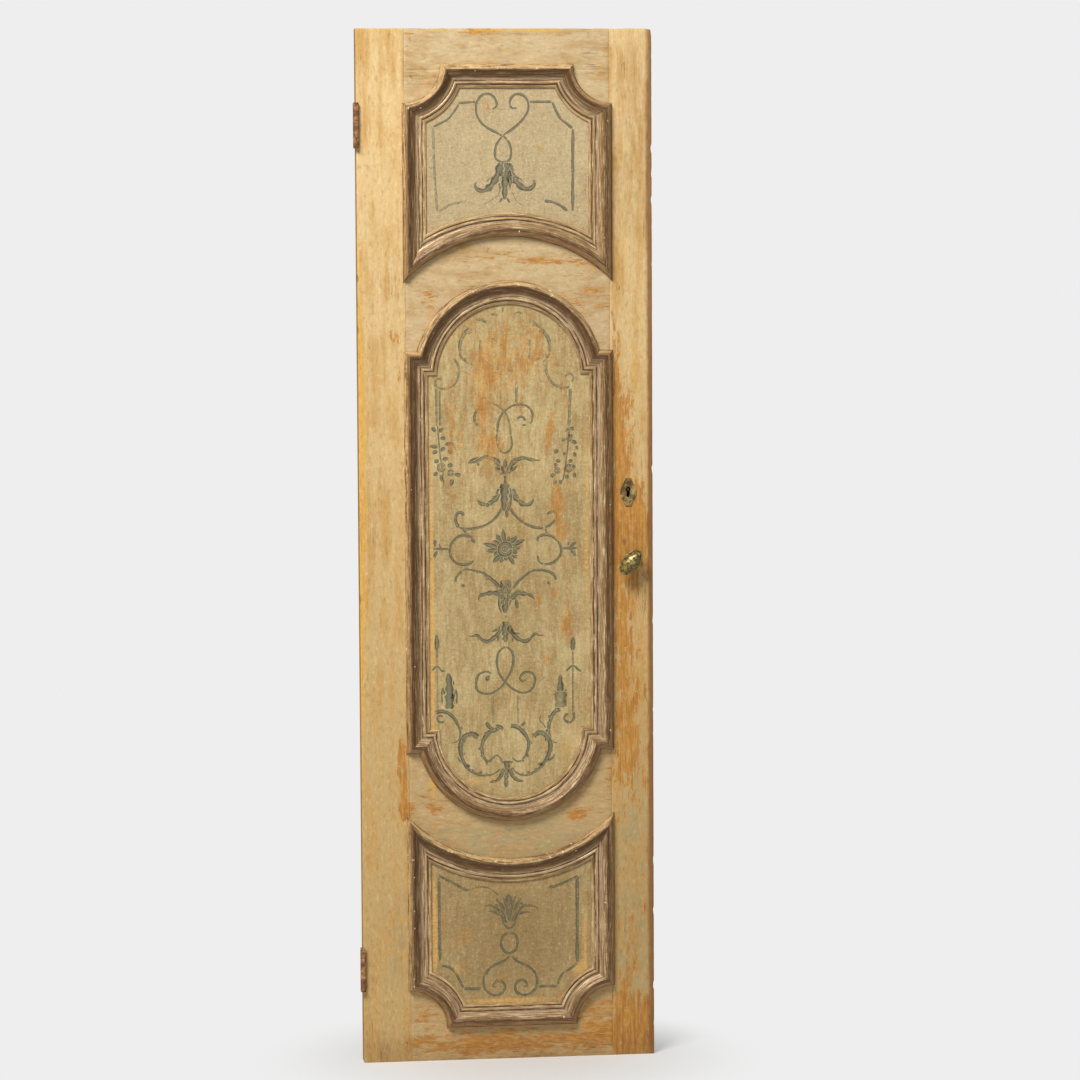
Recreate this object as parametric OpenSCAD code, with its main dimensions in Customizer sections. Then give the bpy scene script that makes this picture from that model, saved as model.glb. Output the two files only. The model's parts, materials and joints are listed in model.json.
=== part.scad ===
// Framed and panelled single-leaf door with planted mouldings, hung on two
// butt hinges, with a rim lock and an oval turn knob. Millimetres, +Z up.
// X runs from the hinge side to the lock side, and the front faces -Y.

/* [Leaf] */
// Width of the door leaf
leaf_w = 600; // [500:5:720]
// Height of the door leaf
leaf_h = 2100; // [1750:5:2520]
// Thickness of the stiles and rails
leaf_t = 36; // [32:0.1:44]
// Width of the stile at the hinge side
hinge_stile_w = 97; // [90:1:110]
// Width of the stile at the lock side
lock_stile_w = 87; // [84:1:110]
// Height of the top rail above its joint line
top_rail_h = 82; // [70:1:110]
// Height of the bottom rail below its joint line
bottom_rail_h = 80; // [70:1:110]

/* [Panels] */
// Thickness of a panel, which is flush with the front
panel_t = 22; // [16:1:24]
// Thickness of the tongue round a panel
tongue_t = 8; // [5:1:10]
// Depth of the tongue beyond the sight line
tongue_d = 8; // [5:1:10]
// Room for the panel to swell at the bottom of its groove
groove_gap = 1; // [0.5:0.5:2]

/* [Moulding frames] */
// Width of the moulding
mould_w = 48; // [44:1:52]
// Height of the moulding's crest above the front
mould_h = 17.3; // [12:0.1:20]
// How far the moulding laps over the edge of the stiles and rails
mould_lap = 5; // [4:0.5:8]
// From the top of the leaf to the top frame
top_margin = 71; // [65:1:80]
// From the bottom of the leaf to the bottom frame
bottom_margin = 68; // [60:1:75]
// Radius of the indented corners
corner_r = 78; // [60:1:85]
// Height of the top and bottom frames on their middle line
end_frame_h = 347; // [320:1:370]
// Rise of the bowed side of the top and bottom frames
bow_rise = 91.35; // [70:0.05:110]
// From the centre frame's side in to the widest place of its end arcs
arch_inset = 19; // [12:1:30]
// Height of the upper middle rail on its middle line, between the two frames
upper_rail_h = 230; // [190:1:260]
// Height of the lower middle rail on its middle line, between the two frames
lower_rail_h = 219; // [190:1:260]
// From an end arc's centre out to the shoulder
shoulder_rise = 52; // [48:1:60]

/* [Joinery] */
// Length of a rail's tenon
tenon_l = 60; // [40:1:70]
// Thickness of a tenon
tenon_t = 10; // [8:1:12]
// Depth left free past the end of a tenon
tenon_gap = 2; // [1:0.5:4]
// Radius of a joint peg
peg_r = 4.5; // [3:0.5:6]
// Radius of a moulding brad
brad_r = 0.8; // [0.5:0.1:1.2]
// Length of a moulding brad
brad_l = 12.5; // [10:0.5:13]

/* [Hinges] */
// Length of the upper hinge
upper_hinge_l = 88; // [70:1:110]
// Length of the lower hinge
lower_hinge_l = 84; // [70:1:110]
// From the top of the leaf to the upper hinge's top
upper_hinge_drop = 150; // [120:1:220]
// From the bottom of the leaf to the lower hinge's foot
lower_hinge_rise = 150; // [120:1:220]
// Radius of the hinge barrel
barrel_r = 6; // [5:0.25:8]
// Radius of the hinge pin
pin_r = 3; // [2.5:0.25:4]
// Thickness of a hinge leaf
hinge_leaf_t = 2.2; // [2:0.1:3]
// Depth of a hinge leaf from the front of the door
hinge_leaf_w = 27; // [22:1:30]
// Gap between the two closed leaves
hinge_gap = 1.5; // [1:0.1:3]
// Radius of the screw holes in the jamb leaves
hinge_hole_r = 2.25; // [2.25:0.05:2.5]
// Radius of the screws that hold the door leaves
hinge_screw_r = 2; // [1.7:0.05:2]
// Distance between the screw holes of a hinge leaf
hinge_hole_pitch = 30; // [24:1:32]

/* [Lock] */
// From the lock edge to the keyhole and to the knob
backset = 50.5; // [42:0.1:61]
// Height of the keyhole's key pin above the foot of the leaf
key_z = 1167; // [1130:1:1250]
// Width of the escutcheon
plate_w = 33; // [28:1:38]
// Height of the escutcheon
plate_h = 57; // [50:1:64]
// Thickness of the escutcheon
plate_t = 1.8; // [1.2:0.1:2.5]
// Radius of the round part of the keyhole
key_hole_r = 5.2; // [5:0.1:6]
// Width of the keyhole's slot
key_slot_w = 7; // [6.5:0.1:8]
// Length of the slot below the key pin
key_slot_l = 16; // [14:0.5:20]
// Width of the lock's case
case_w = 106; // [100:1:116]
// Height of the lock's case
case_h = 90; // [86:1:110]
// Depth of the lock's case
case_d = 20; // [18:1:28]
// Thickness of the case's walls
case_t = 2; // [1.5:0.1:3]
// Height of the dead bolt
bolt_h = 21; // [16:1:22]
// Thickness of the dead bolt
bolt_t = 10; // [8:1:12]
// How far the dead bolt throws
bolt_throw = 12; // [8:1:14]

/* [Knob] */
// Height of the knob above the foot of the leaf
knob_z = 1021; // [980:1:1060]
// Half of the knob's length
knob_a = 30; // [28:0.5:32]
// Half of the knob's width
knob_b = 18.5; // [17:0.5:20]
// How far the knob stands out from the door
knob_proud = 47; // [44:1:56]
// Angle of the knob's long axis above the horizontal
knob_tilt = 50; // [0:1:90]
// Radius of the knob's spindle
spindle_r = 4; // [3:0.25:5]
// Length of the catch bar
catch_l = 82; // [70:1:86]
// Width of the catch bar
catch_w = 15; // [12:1:18]
// Thickness of the catch bar
catch_t = 6; // [4:0.5:7]

/* [Hidden] */

$fn = 64;
eps = 0.01;
far = 3000;

// Clearances
running = 0.05;      // round a pin, spindle or screw in its bore
sliding = 0.3;       // round the dead bolt
knuckle_gap = 0.4;   // between two knuckles of a hinge

// Colours
paint = [0.80, 0.67, 0.45];
panel_paint = [0.74, 0.64, 0.45];
gilt = [0.60, 0.49, 0.36];
bare_wood = [0.50, 0.36, 0.22];
rusty_iron = [0.33, 0.21, 0.13];
dark_iron = [0.20, 0.18, 0.16];
brass = [0.58, 0.49, 0.25];

// The moulding frames
frame_lo = hinge_stile_w - mould_lap;
frame_hi = leaf_w - lock_stile_w + mould_lap;
axis_x = (frame_lo + frame_hi) / 2;
half_w = (frame_hi - frame_lo) / 2;
top_z = leaf_h - top_margin;
top_crown_z = top_z - end_frame_h;
bow_r = (half_w * half_w + bow_rise * bow_rise) / (2 * bow_rise);
bow_angle = asin(half_w / bow_r);
top_bow_z = top_crown_z - bow_r;
bottom_z = bottom_margin;
bottom_crown_z = bottom_z + end_frame_h;
bottom_bow_z = bottom_crown_z + bow_r;
shoulder_z = [bottom_crown_z + lower_rail_h, top_crown_z - upper_rail_h];
centre_z = (shoulder_z[0] + shoulder_z[1]) / 2;
arch_z = [shoulder_z[0] + shoulder_rise, shoulder_z[1] - shoulder_rise];
arch_r = half_w - arch_inset;

// The joints of the leaf
rail_lo = hinge_stile_w;
rail_hi = leaf_w - lock_stile_w;
tongue_y = (panel_t - tongue_t) / 2;
tenon_y = (leaf_t - tenon_t) / 2;
groove_offset = mould_lap - tongue_d - groove_gap;
tongue_offset = mould_lap - tongue_d;
top_joint_z = leaf_h - top_rail_h;
block_w = corner_r;
peg_stop = 6;        // wood left before a peg's end
peg_l = leaf_t - peg_stop;
peg_inset = 24;
tenon_inset = 22;    // from an outer edge or a frame's shoulder
joint_inset = 18;    // from the joint line beside a corner block
bow_clear = 20;      // from the end of a bow to the tenon beside it

// Tenons: [foot, head] of each rail's tenon, clear of the panels' grooves
tip_drop = bow_rise + bow_clear;
tenons = [
    [tenon_inset, bottom_rail_h - joint_inset],
    [bottom_crown_z + tip_drop, shoulder_z[0] - tenon_inset],
    [shoulder_z[1] + tenon_inset, top_crown_z - tip_drop],
    [top_joint_z + joint_inset, leaf_h - tenon_inset]
];

// The moulding's section, from its outer edge to its inner edge
mould_section = [
    [0, 0], [0, 0.13], [0.035, 0.17], [0.055, 0.44], [0.11, 0.72], [0.18, 0.92],
    [0.26, 1], [0.34, 0.98], [0.415, 0.90], [0.435, 0.70], [0.50, 0.50],
    [0.59, 0.33], [0.70, 0.24], [0.765, 0.235], [0.785, 0.30], [0.83, 0.345],
    [0.875, 0.30], [0.89, 0.20], [0.91, 0.25], [0.985, 0.225], [1, 0.19], [1, 0]
];
function section() = [for (p = mould_section) [p[0] * mould_w, p[1] * mould_h]];

// Where two runs of moulding meet, at a distance d in from the outer line
function corner_side(d) = [frame_lo + d, top_z - sqrt(pow(corner_r + d, 2) - d * d)];
function corner_head(d) = [frame_lo + sqrt(pow(corner_r + d, 2) - d * d), top_z - d];
function bow_side(d) =
    [frame_lo + d, top_bow_z + sqrt(pow(bow_r + d, 2) - pow(half_w - d, 2))];
function shoulder_side(d) = [frame_lo + d, shoulder_z[1] - d];
function shoulder_arch(d) =
    [axis_x - sqrt(pow(arch_r - d, 2) - pow(shoulder_rise - d, 2)), shoulder_z[1] - d];

// Hinges
hinge_x = -hinge_gap / 2;
hinge_y = -barrel_r - 0.3;
upper_hinge_z = leaf_h - upper_hinge_drop - upper_hinge_l;
lower_hinge_z = lower_hinge_rise;
knuckles = 5;
hinge_cap_h = 2;
hinge_hole_y = hinge_leaf_w * 0.55;
hinge_screw_l = 24;
hinge_sink_r = hinge_hole_r * 1.9;
hinge_sink = hinge_leaf_t * 0.55;

// Lock
key_x = leaf_w - backset;
plate_z = key_z - 6;
plate_end_w = 0.34 * plate_w;
plate_side_h = 0.2 * plate_h;
plate_rim = 0.8;     // height of the rim round the keyhole
plate_rim_w = 1.6;   // width of that rim
plate_pin_r = 0.9;
plate_pin_l = 12;
plate_pin_inset = 4.5;
plate_pin_head_r = 1.9;
case_x = leaf_w - case_w;
case_z = plate_z - case_h / 2;
case_back = leaf_t + case_d;
key_pin_r = 2.2;
bolt_z = key_z + key_hole_r + 1;
bolt_y = leaf_t + (case_d - bolt_t) / 2;
bolt_l = case_w - case_t - bolt_throw - 2;
guide_r = 2.5;
guide_x = case_x + 22;
bit_notch = [12, 5]; // width and depth of the notch that a key's bit pushes on
bit_notch_x = key_x - 9;
spring_t = 0.8;
spring_l = 38;
spring_foot = [12, 1];
spring_x = guide_x + 14;
spring_side = 2;     // from the side of the bolt to the spring
lock_screw_r = 1.9;
lock_screw_inset = 7;
lock_screw_l = 14;
lock_sink = case_t * 0.8;
cap_ease = 0.6;      // the inner keyhole's room round the outer one

// Knob
knob_x = key_x;
knob_end_r = 13;
neck_r = 7.5;
neck_gap = 0.6;
head_back = 24;
washer_t = 1.2;
catch_y = leaf_t + washer_t + 0.3;

// The whole part, from which its origin is set
x_lo = hinge_x - barrel_r;
x_hi = leaf_w;
y_lo = -knob_proud;
y_hi = case_back;
module place() { translate([-(x_lo + x_hi) / 2, -(y_lo + y_hi) / 2, 0]) children(); }

// A plate that follows an outline in the XZ plane, from y to y + t
module plate(y, t) { translate([0, y + t, 0]) rotate([90, 0, 0]) linear_extrude(t) children(); }

// A round bar along Y, from y to y + l
module along_y(x, y, z, r, l) {
    translate([x, y + l, z]) rotate([90, 0, 0]) cylinder(r = r, h = l);
}

// Everything to the left of the line from p to q in the XZ plane
module left_of(p, q) {
    translate([p[0], 0, p[1]]) rotate([0, -atan2(q[1] - p[1], q[0] - p[0]), 0])
        translate([-far, -100, 0]) cube([2 * far, 200, far]);
}

// Mirrored to the lock side of the frames, or to the foot of the end frames
module lock_side() { translate([2 * axis_x, 0, 0]) mirror([1, 0, 0]) children(); }
module foot_side() {
    translate([0, 0, top_z + bottom_z]) mirror([0, 0, 1]) children();
}
module shoulder_foot() { translate([0, 0, 2 * centre_z]) mirror([0, 0, 1]) children(); }

// Outlines of the three openings, a distance d in from the mouldings' outer line
module top_outline(d) {
    difference() {
        translate([frame_lo + d, top_bow_z])
            square([2 * (half_w - d), top_z - d - top_bow_z]);
        for (x = [frame_lo, frame_hi])
            translate([x, top_z]) circle(r = corner_r + d);
        translate([axis_x, top_bow_z]) circle(r = bow_r + d, $fn = 180);
    }
}
module bottom_outline(d) {
    translate([0, top_z + bottom_z]) mirror([0, 1]) top_outline(d);
}
module centre_outline(d) {
    translate([frame_lo + d, shoulder_z[0] + d])
        square([2 * (half_w - d), shoulder_z[1] - shoulder_z[0] - 2 * d]);
    for (z = arch_z)
        translate([axis_x, z]) circle(r = arch_r - d, $fn = 120);
}

// The openings and the grooves round them, to cut from the stiles and rails
module panel_housings() {
    plate(-1, leaf_t + 2) {
        top_outline(mould_lap);
        centre_outline(mould_lap);
        bottom_outline(mould_lap);
    }
    plate(tongue_y, tongue_t) {
        top_outline(groove_offset);
        centre_outline(groove_offset);
        bottom_outline(groove_offset);
    }
}

// Places of the brads, a set for each frame, half a lap in from the outer line
brad_d = mould_lap / 2;
side_brads = [0.12, 0.5, 0.88];
top_side_z = [bow_side(0)[1], corner_side(0)[1]];
top_brads = [
    for (s = [-1, 1], f = side_brads)
        [axis_x + s * (half_w - brad_d), top_side_z[0] + f * (top_side_z[1] - top_side_z[0])],
    for (s = [-1, 0, 1]) [axis_x + s * (half_w - corner_r - 25), top_z - brad_d],
    for (s = [-1, 1], a = [20, 70])
        [axis_x + s * (half_w - (corner_r + brad_d) * cos(a)), top_z - (corner_r + brad_d) * sin(a)],
    for (f = [-0.82, -0.41, 0, 0.41, 0.82])
        [axis_x + (bow_r + brad_d) * sin(f * bow_angle), top_bow_z + (bow_r + brad_d) * cos(f * bow_angle)]
];
bottom_brads = [for (p = top_brads) [p[0], top_z + bottom_z - p[1]]];
centre_brads = [
    for (s = [-1, 1], f = [0.03, 0.35, 0.65, 0.97])
        [axis_x + s * (half_w - brad_d), shoulder_z[0] + f * (shoulder_z[1] - shoulder_z[0])],
    for (s = [-1, 1], a = [20, 42, 66, 90, 114, 138, 160])
        [axis_x + (arch_r - brad_d) * cos(a),
         (s > 0 ? arch_z[1] : arch_z[0]) + s * (arch_r - brad_d) * sin(a)]
];
module brads(places, extra = 0) {
    for (p = places)
        along_y(p[0], tongue_y - 1 - brad_l, p[1], brad_r + extra, brad_l, $fn = 16);
}
module brad_holes() {
    brads(concat(top_brads, centre_brads, bottom_brads), running);
}

// Pegs: two through each tenon, from the back
peg_places = [
    for (t = tenons, x = [rail_lo - peg_inset, rail_hi + peg_inset], f = [0.22, 0.78])
        [x, t[0] + f * (t[1] - t[0])]
];
module pegs(extra = 0) {
    for (p = peg_places)
        along_y(p[0], leaf_t - peg_l, p[1], peg_r + extra, peg_l + extra, $fn = 24);
}

// The two tenons of one rail, or with a gap the mortises that take them
module tenon_pair(i, gap = 0) {
    z = tenons[i][0];
    for (x = [rail_lo - tenon_l - gap, rail_hi])
        translate([x, tenon_y, z]) cube([tenon_l + gap, tenon_t, tenons[i][1] - z]);
}
module mortises() { for (i = [0:3]) tenon_pair(i, tenon_gap); }

// Stiles
module stile_blank(x, w) { translate([x, 0, 0]) cube([w, leaf_t, leaf_h]); }
module hinge_stile() {
    color(paint) place() difference() {
        stile_blank(0, hinge_stile_w);
        panel_housings();
        mortises();
        pegs(running);
        brad_holes();
        for (z = [[upper_hinge_z, upper_hinge_l], [lower_hinge_z, lower_hinge_l]]) {
            translate([-eps, -eps, z[0]])
                cube([hinge_leaf_t + eps, hinge_leaf_w + eps, z[1]]);
            hinge_screw_set(z[0], z[1], running);
        }
    }
}
module lock_stile() {
    color(paint) place() difference() {
        stile_blank(leaf_w - lock_stile_w, lock_stile_w);
        panel_housings();
        mortises();
        pegs(running);
        brad_holes();
        keyhole(-1, leaf_t + 2, 1);
        escutcheon_pin_set(running);
        lock_screw_set(running);
        along_y(knob_x, -1, knob_z, spindle_r + running, leaf_t + 2);
    }
}

// Rails and corner blocks: a blank less the openings, with its tenons
module rail(i, z0, z1) {
    color(paint) place() difference() {
        union() {
            difference() {
                translate([rail_lo, 0, z0]) cube([rail_hi - rail_lo, leaf_t, z1 - z0]);
                panel_housings();
            }
            tenon_pair(i);
        }
        pegs(running);
        brad_holes();
    }
}
module bottom_rail() { rail(0, 0, bottom_rail_h); }
module lower_middle_rail() { rail(1, bottom_bow_z - bow_r - mould_lap, shoulder_z[0] + mould_lap); }
module upper_middle_rail() { rail(2, shoulder_z[1] - mould_lap, top_crown_z + mould_lap); }
module top_rail() { rail(3, top_joint_z, leaf_h); }

module corner_block() {
    difference() {
        translate([rail_lo, 0, top_z - corner_r - mould_lap])
            cube([block_w, leaf_t, top_joint_z - top_z + corner_r + mould_lap]);
        panel_housings();
        brad_holes();
    }
}
module lower_corner_block() {
    difference() {
        translate([rail_lo, 0, bottom_rail_h])
            cube([block_w, leaf_t, bottom_z + corner_r + mould_lap - bottom_rail_h]);
        panel_housings();
        brad_holes();
    }
}
module upper_hinge_side_corner_block() { color(paint) place() corner_block(); }
module upper_lock_side_corner_block() { color(paint) place() lock_side() corner_block(); }
module lower_hinge_side_corner_block() { color(paint) place() lower_corner_block(); }
module lower_lock_side_corner_block() { color(paint) place() lock_side() lower_corner_block(); }

// Panels: a field flush with the front, and a tongue in the grooves
module panel_body(which) {
    color(panel_paint) place() {
        plate(0, panel_t) outline_of(which, mould_lap);
        plate(tongue_y, tongue_t) outline_of(which, tongue_offset);
    }
}
module outline_of(which, d) {
    if (which == "top") top_outline(d);
    if (which == "centre") centre_outline(d);
    if (which == "bottom") bottom_outline(d);
}
module top_panel() { panel_body("top"); }
module centre_panel() { panel_body("centre"); }
module bottom_panel() { panel_body("bottom"); }

module joint_pegs() { color(bare_wood) place() pegs(); }

// Runs of moulding. A straight run has its panel on the left of the way from p to q.
module straight_run(p, q) {
    way = q - p;
    translate([p[0], 0, p[1]]) rotate([0, -atan2(way[1], way[0]), 0])
        rotate([90, 0, 0]) rotate([90, 0, 90]) linear_extrude(norm(way)) polygon(section());
}
// An arc from angle a to b round c, whose panel lies outside (way 1) or inside (way -1)
module arc_run(c, r, way, a, b) {
    translate([c[0], 0, c[1]]) rotate([90, 0, 0]) rotate([0, 0, a])
        rotate_extrude(angle = b - a, $fn = 120)
            polygon([for (p = section()) [r + way * p[0], p[1]]]);
}
module gilded(places) {
    color(gilt) place() difference() {
        children();
        brads(places, running);
    }
}

// Top frame: head, two corners, two sides and the bow
module head_run() {
    difference() {
        straight_run([frame_hi, top_z], [frame_lo, top_z]);
        left_of(corner_head(mould_w), corner_head(0));
        lock_side() left_of(corner_head(mould_w), corner_head(0));
    }
}
module corner_run() {
    difference() {
        arc_run([frame_lo, top_z], corner_r, 1, -105, 15);
        left_of(corner_side(mould_w), corner_side(0));
        left_of(corner_head(0), corner_head(mould_w));
    }
}
module end_side_run() {
    difference() {
        straight_run([frame_lo, top_z], [frame_lo, top_bow_z]);
        left_of(corner_side(0), corner_side(mould_w));
        left_of(bow_side(mould_w), bow_side(0));
    }
}
module bow_run() {
    difference() {
        arc_run([axis_x, top_bow_z], bow_r, 1, 75 - bow_angle, 105 + bow_angle);
        left_of(bow_side(0), bow_side(mould_w));
        lock_side() left_of(bow_side(0), bow_side(mould_w));
    }
}
module top_moulding_head() { gilded(top_brads) head_run(); }
module top_moulding_hinge_side_corner() { gilded(top_brads) corner_run(); }
module top_moulding_lock_side_corner() { gilded(top_brads) lock_side() corner_run(); }
module top_moulding_hinge_side() { gilded(top_brads) end_side_run(); }
module top_moulding_lock_side() { gilded(top_brads) lock_side() end_side_run(); }
module top_moulding_bow() { gilded(top_brads) bow_run(); }

// Bottom frame: the top frame turned over
module bottom_moulding_foot() { gilded(bottom_brads) foot_side() head_run(); }
module bottom_moulding_hinge_side_corner() { gilded(bottom_brads) foot_side() corner_run(); }
module bottom_moulding_lock_side_corner() {
    gilded(bottom_brads) foot_side() lock_side() corner_run();
}
module bottom_moulding_hinge_side() { gilded(bottom_brads) foot_side() end_side_run(); }
module bottom_moulding_lock_side() {
    gilded(bottom_brads) foot_side() lock_side() end_side_run();
}
module bottom_moulding_bow() { gilded(bottom_brads) foot_side() bow_run(); }

// Centre frame: two end arcs, four shoulders and two sides
module arch_run() {
    difference() {
        arc_run([axis_x, arch_z[1]], arch_r, -1, -15, 195);
        left_of(shoulder_arch(mould_w), shoulder_arch(0));
        lock_side() left_of(shoulder_arch(mould_w), shoulder_arch(0));
    }
}
module shoulder_run() {
    difference() {
        straight_run([axis_x, shoulder_z[1]], [frame_lo, shoulder_z[1]]);
        left_of(shoulder_side(mould_w), shoulder_side(0));
        left_of(shoulder_arch(0), shoulder_arch(mould_w));
    }
}
module centre_side_run() {
    difference() {
        straight_run([frame_lo, shoulder_z[1]], [frame_lo, shoulder_z[0]]);
        left_of(shoulder_side(0), shoulder_side(mould_w));
        shoulder_foot() left_of(shoulder_side(0), shoulder_side(mould_w));
    }
}
module centre_moulding_head() { gilded(centre_brads) arch_run(); }
module centre_moulding_upper_hinge_side_shoulder() { gilded(centre_brads) shoulder_run(); }
module centre_moulding_upper_lock_side_shoulder() {
    gilded(centre_brads) lock_side() shoulder_run();
}
module centre_moulding_hinge_side() { gilded(centre_brads) centre_side_run(); }
module centre_moulding_lock_side() { gilded(centre_brads) lock_side() centre_side_run(); }
module centre_moulding_lower_hinge_side_shoulder() {
    gilded(centre_brads) shoulder_foot() shoulder_run();
}
module centre_moulding_lower_lock_side_shoulder() {
    gilded(centre_brads) shoulder_foot() lock_side() shoulder_run();
}
module centre_moulding_foot() { gilded(centre_brads) shoulder_foot() arch_run(); }

module moulding_brads() {
    color(rusty_iron) place() brads(concat(top_brads, centre_brads, bottom_brads));
}

// Hinges. The door leaf holds knuckles 1 and 3, and the jamb leaf 0, 2 and 4.
function knuckle_l(l) = l / knuckles;
module knuckle(z, l, i, r, extra) {
    translate([hinge_x, hinge_y, z + i * knuckle_l(l) + knuckle_gap / 2 - extra])
        cylinder(r = r, h = knuckle_l(l) - knuckle_gap + 2 * extra);
}
module hinge_screw_set(z, l, extra = 0) {
    for (i = [-1:1])
        translate([0, hinge_hole_y, z + l / 2 + i * hinge_hole_pitch]) rotate([0, 90, 0]) {
            cylinder(r = hinge_screw_r + extra, h = hinge_screw_l, $fn = 24);
            cylinder(r1 = hinge_sink_r, r2 = hinge_screw_r + extra, h = hinge_sink, $fn = 24);
        }
}
module hinge_leaf_plate(x, z, l) {
    translate([x, hinge_y, z]) cube([hinge_leaf_t, hinge_leaf_w - hinge_y, l]);
}
module door_hinge_leaf(z, l) {
    color(rusty_iron) place() difference() {
        union() {
            hinge_leaf_plate(0, z, l);
            for (i = [1, 3]) knuckle(z, l, i, barrel_r, 0);
        }
        for (i = [0, 2, 4]) knuckle(z, l, i, barrel_r + knuckle_gap, knuckle_gap);
        translate([hinge_x, hinge_y, z - 1]) cylinder(r = pin_r + running, h = l + 2);
        hinge_screw_set(z, l, running);
    }
}
module jamb_hinge_leaf(z, l) {
    color(rusty_iron) place() difference() {
        union() {
            hinge_leaf_plate(-hinge_gap - hinge_leaf_t, z, l);
            for (i = [0, 2, 4]) knuckle(z, l, i, barrel_r, 0);
        }
        for (i = [1, 3]) knuckle(z, l, i, barrel_r + knuckle_gap, knuckle_gap);
        translate([hinge_x, hinge_y, z - 1]) cylinder(r = pin_r + running, h = l + 2);
        for (i = [-1:1])
            translate([-hinge_gap - hinge_leaf_t, hinge_hole_y, z + l / 2 + i * hinge_hole_pitch])
                rotate([0, 90, 0]) {
                    translate([0, 0, -1]) cylinder(r = hinge_hole_r, h = hinge_leaf_t + 2);
                    translate([0, 0, hinge_leaf_t - hinge_sink])
                        cylinder(r1 = hinge_hole_r, r2 = hinge_sink_r, h = hinge_sink + eps);
                }
    }
}
module hinge_pin(z, l) {
    color(rusty_iron) place() translate([hinge_x, hinge_y, z]) {
        cylinder(r = pin_r, h = l);
        for (end = [-hinge_cap_h, l])
            translate([0, 0, end]) cylinder(r = barrel_r - 0.6, h = hinge_cap_h);
    }
}
module upper_door_leaf() { door_hinge_leaf(upper_hinge_z, upper_hinge_l); }
module lower_door_leaf() { door_hinge_leaf(lower_hinge_z, lower_hinge_l); }
module upper_jamb_leaf() { jamb_hinge_leaf(upper_hinge_z, upper_hinge_l); }
module lower_jamb_leaf() { jamb_hinge_leaf(lower_hinge_z, lower_hinge_l); }
module upper_hinge_pin() { hinge_pin(upper_hinge_z, upper_hinge_l); }
module lower_hinge_pin() { hinge_pin(lower_hinge_z, lower_hinge_l); }
module hinge_screws() {
    color(dark_iron) place() {
        hinge_screw_set(upper_hinge_z, upper_hinge_l);
        hinge_screw_set(lower_hinge_z, lower_hinge_l);
    }
}

// Keyhole: round about the key pin, with a slot below it
module keyhole(y, l, extra) {
    along_y(key_x, y, key_z, key_hole_r + extra, l);
    along_y(key_x, y, key_z - key_slot_l + key_slot_w / 2, key_slot_w / 2 + extra, l);
    translate([key_x - key_slot_w / 2 - extra, y, key_z - key_slot_l + key_slot_w / 2])
        cube([key_slot_w + 2 * extra, l, key_slot_l - key_slot_w / 2]);
}
module escutcheon_pin_set(extra = 0) {
    for (s = [-1, 1])
        along_y(key_x, -plate_t, plate_z + s * (plate_h / 2 - plate_pin_inset),
                plate_pin_r + extra, plate_pin_l, $fn = 24);
}
module escutcheon() {
    x = [plate_end_w / 2, plate_w / 2];
    z = [plate_h / 2, plate_side_h / 2];
    points = [
        [x[0], z[0]], [-x[0], z[0]], [-x[1], z[1]], [-x[1], -z[1]],
        [-x[0], -z[0]], [x[0], -z[0]], [x[1], -z[1]], [x[1], z[1]]
    ];
    color(brass) place() difference() {
        union() {
            plate(-plate_t, plate_t) translate([key_x, plate_z]) polygon(points);
            keyhole(-plate_t - plate_rim, plate_rim + eps, plate_rim_w);
        }
        keyhole(-plate_t - 2, plate_t + 3, 0);
        escutcheon_pin_set(running);
    }
}
module escutcheon_pins() {
    color(brass) place() {
        escutcheon_pin_set();
        for (s = [-1, 1])
            translate([key_x, -plate_t, plate_z + s * (plate_h / 2 - plate_pin_inset)])
                intersection() {
                    translate([0, plate_pin_head_r / 3, 0])
                        sphere(r = plate_pin_head_r, $fn = 24);
                    translate([-1, -1, -1] * 2 * plate_pin_head_r)
                        cube([4, 2, 4] * plate_pin_head_r);
                }
    }
}

// Rim lock on the back
module lock_screw_set(extra = 0) {
    for (x = [case_x + lock_screw_inset, leaf_w - lock_screw_inset],
         z = [case_z + lock_screw_inset, case_z + case_h - lock_screw_inset]) {
        along_y(x, leaf_t - lock_screw_l, z, lock_screw_r + extra, case_d + lock_screw_l, $fn = 24);
        translate([x, case_back, z]) rotate([90, 0, 0])
            cylinder(r1 = 2 * lock_screw_r + extra, r2 = lock_screw_r + extra, h = lock_sink, $fn = 24);
    }
}
module lock_case() {
    color(dark_iron) place() difference() {
        translate([case_x, leaf_t, case_z]) cube([case_w, case_d, case_h]);
        translate([case_x + case_t, leaf_t - 1, case_z + case_t])
            cube([case_w - 2 * case_t, case_d - case_t + 1, case_h - 2 * case_t]);
        translate([leaf_w - case_t - 1, bolt_y - sliding, bolt_z - sliding])
            cube([case_t + 2, bolt_t + 2 * sliding, bolt_h + 2 * sliding]);
        along_y(key_x, leaf_t, key_z, key_pin_r + running, case_d + 1);
        along_y(guide_x, leaf_t, bolt_z + bolt_h / 2, guide_r + running, case_d + 1);
        lock_screw_set(running);
    }
}
module lock_cap() {
    color(dark_iron) place() difference() {
        translate([case_x + case_t, leaf_t, case_z + case_t])
            cube([case_w - 2 * case_t, case_t, case_h - 2 * case_t]);
        keyhole(leaf_t - 1, case_t + 2, cap_ease);
        lock_screw_set(running);
        along_y(guide_x, leaf_t - 1, bolt_z + bolt_h / 2, guide_r + running, case_t + 2);
    }
}
module key_pin() {
    color(dark_iron) place() along_y(key_x, -1.2, key_z, key_pin_r, case_back + 1.2);
}
module bolt_guide() {
    color(dark_iron) place()
        along_y(guide_x, leaf_t, bolt_z + bolt_h / 2, guide_r, case_d);
}
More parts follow.
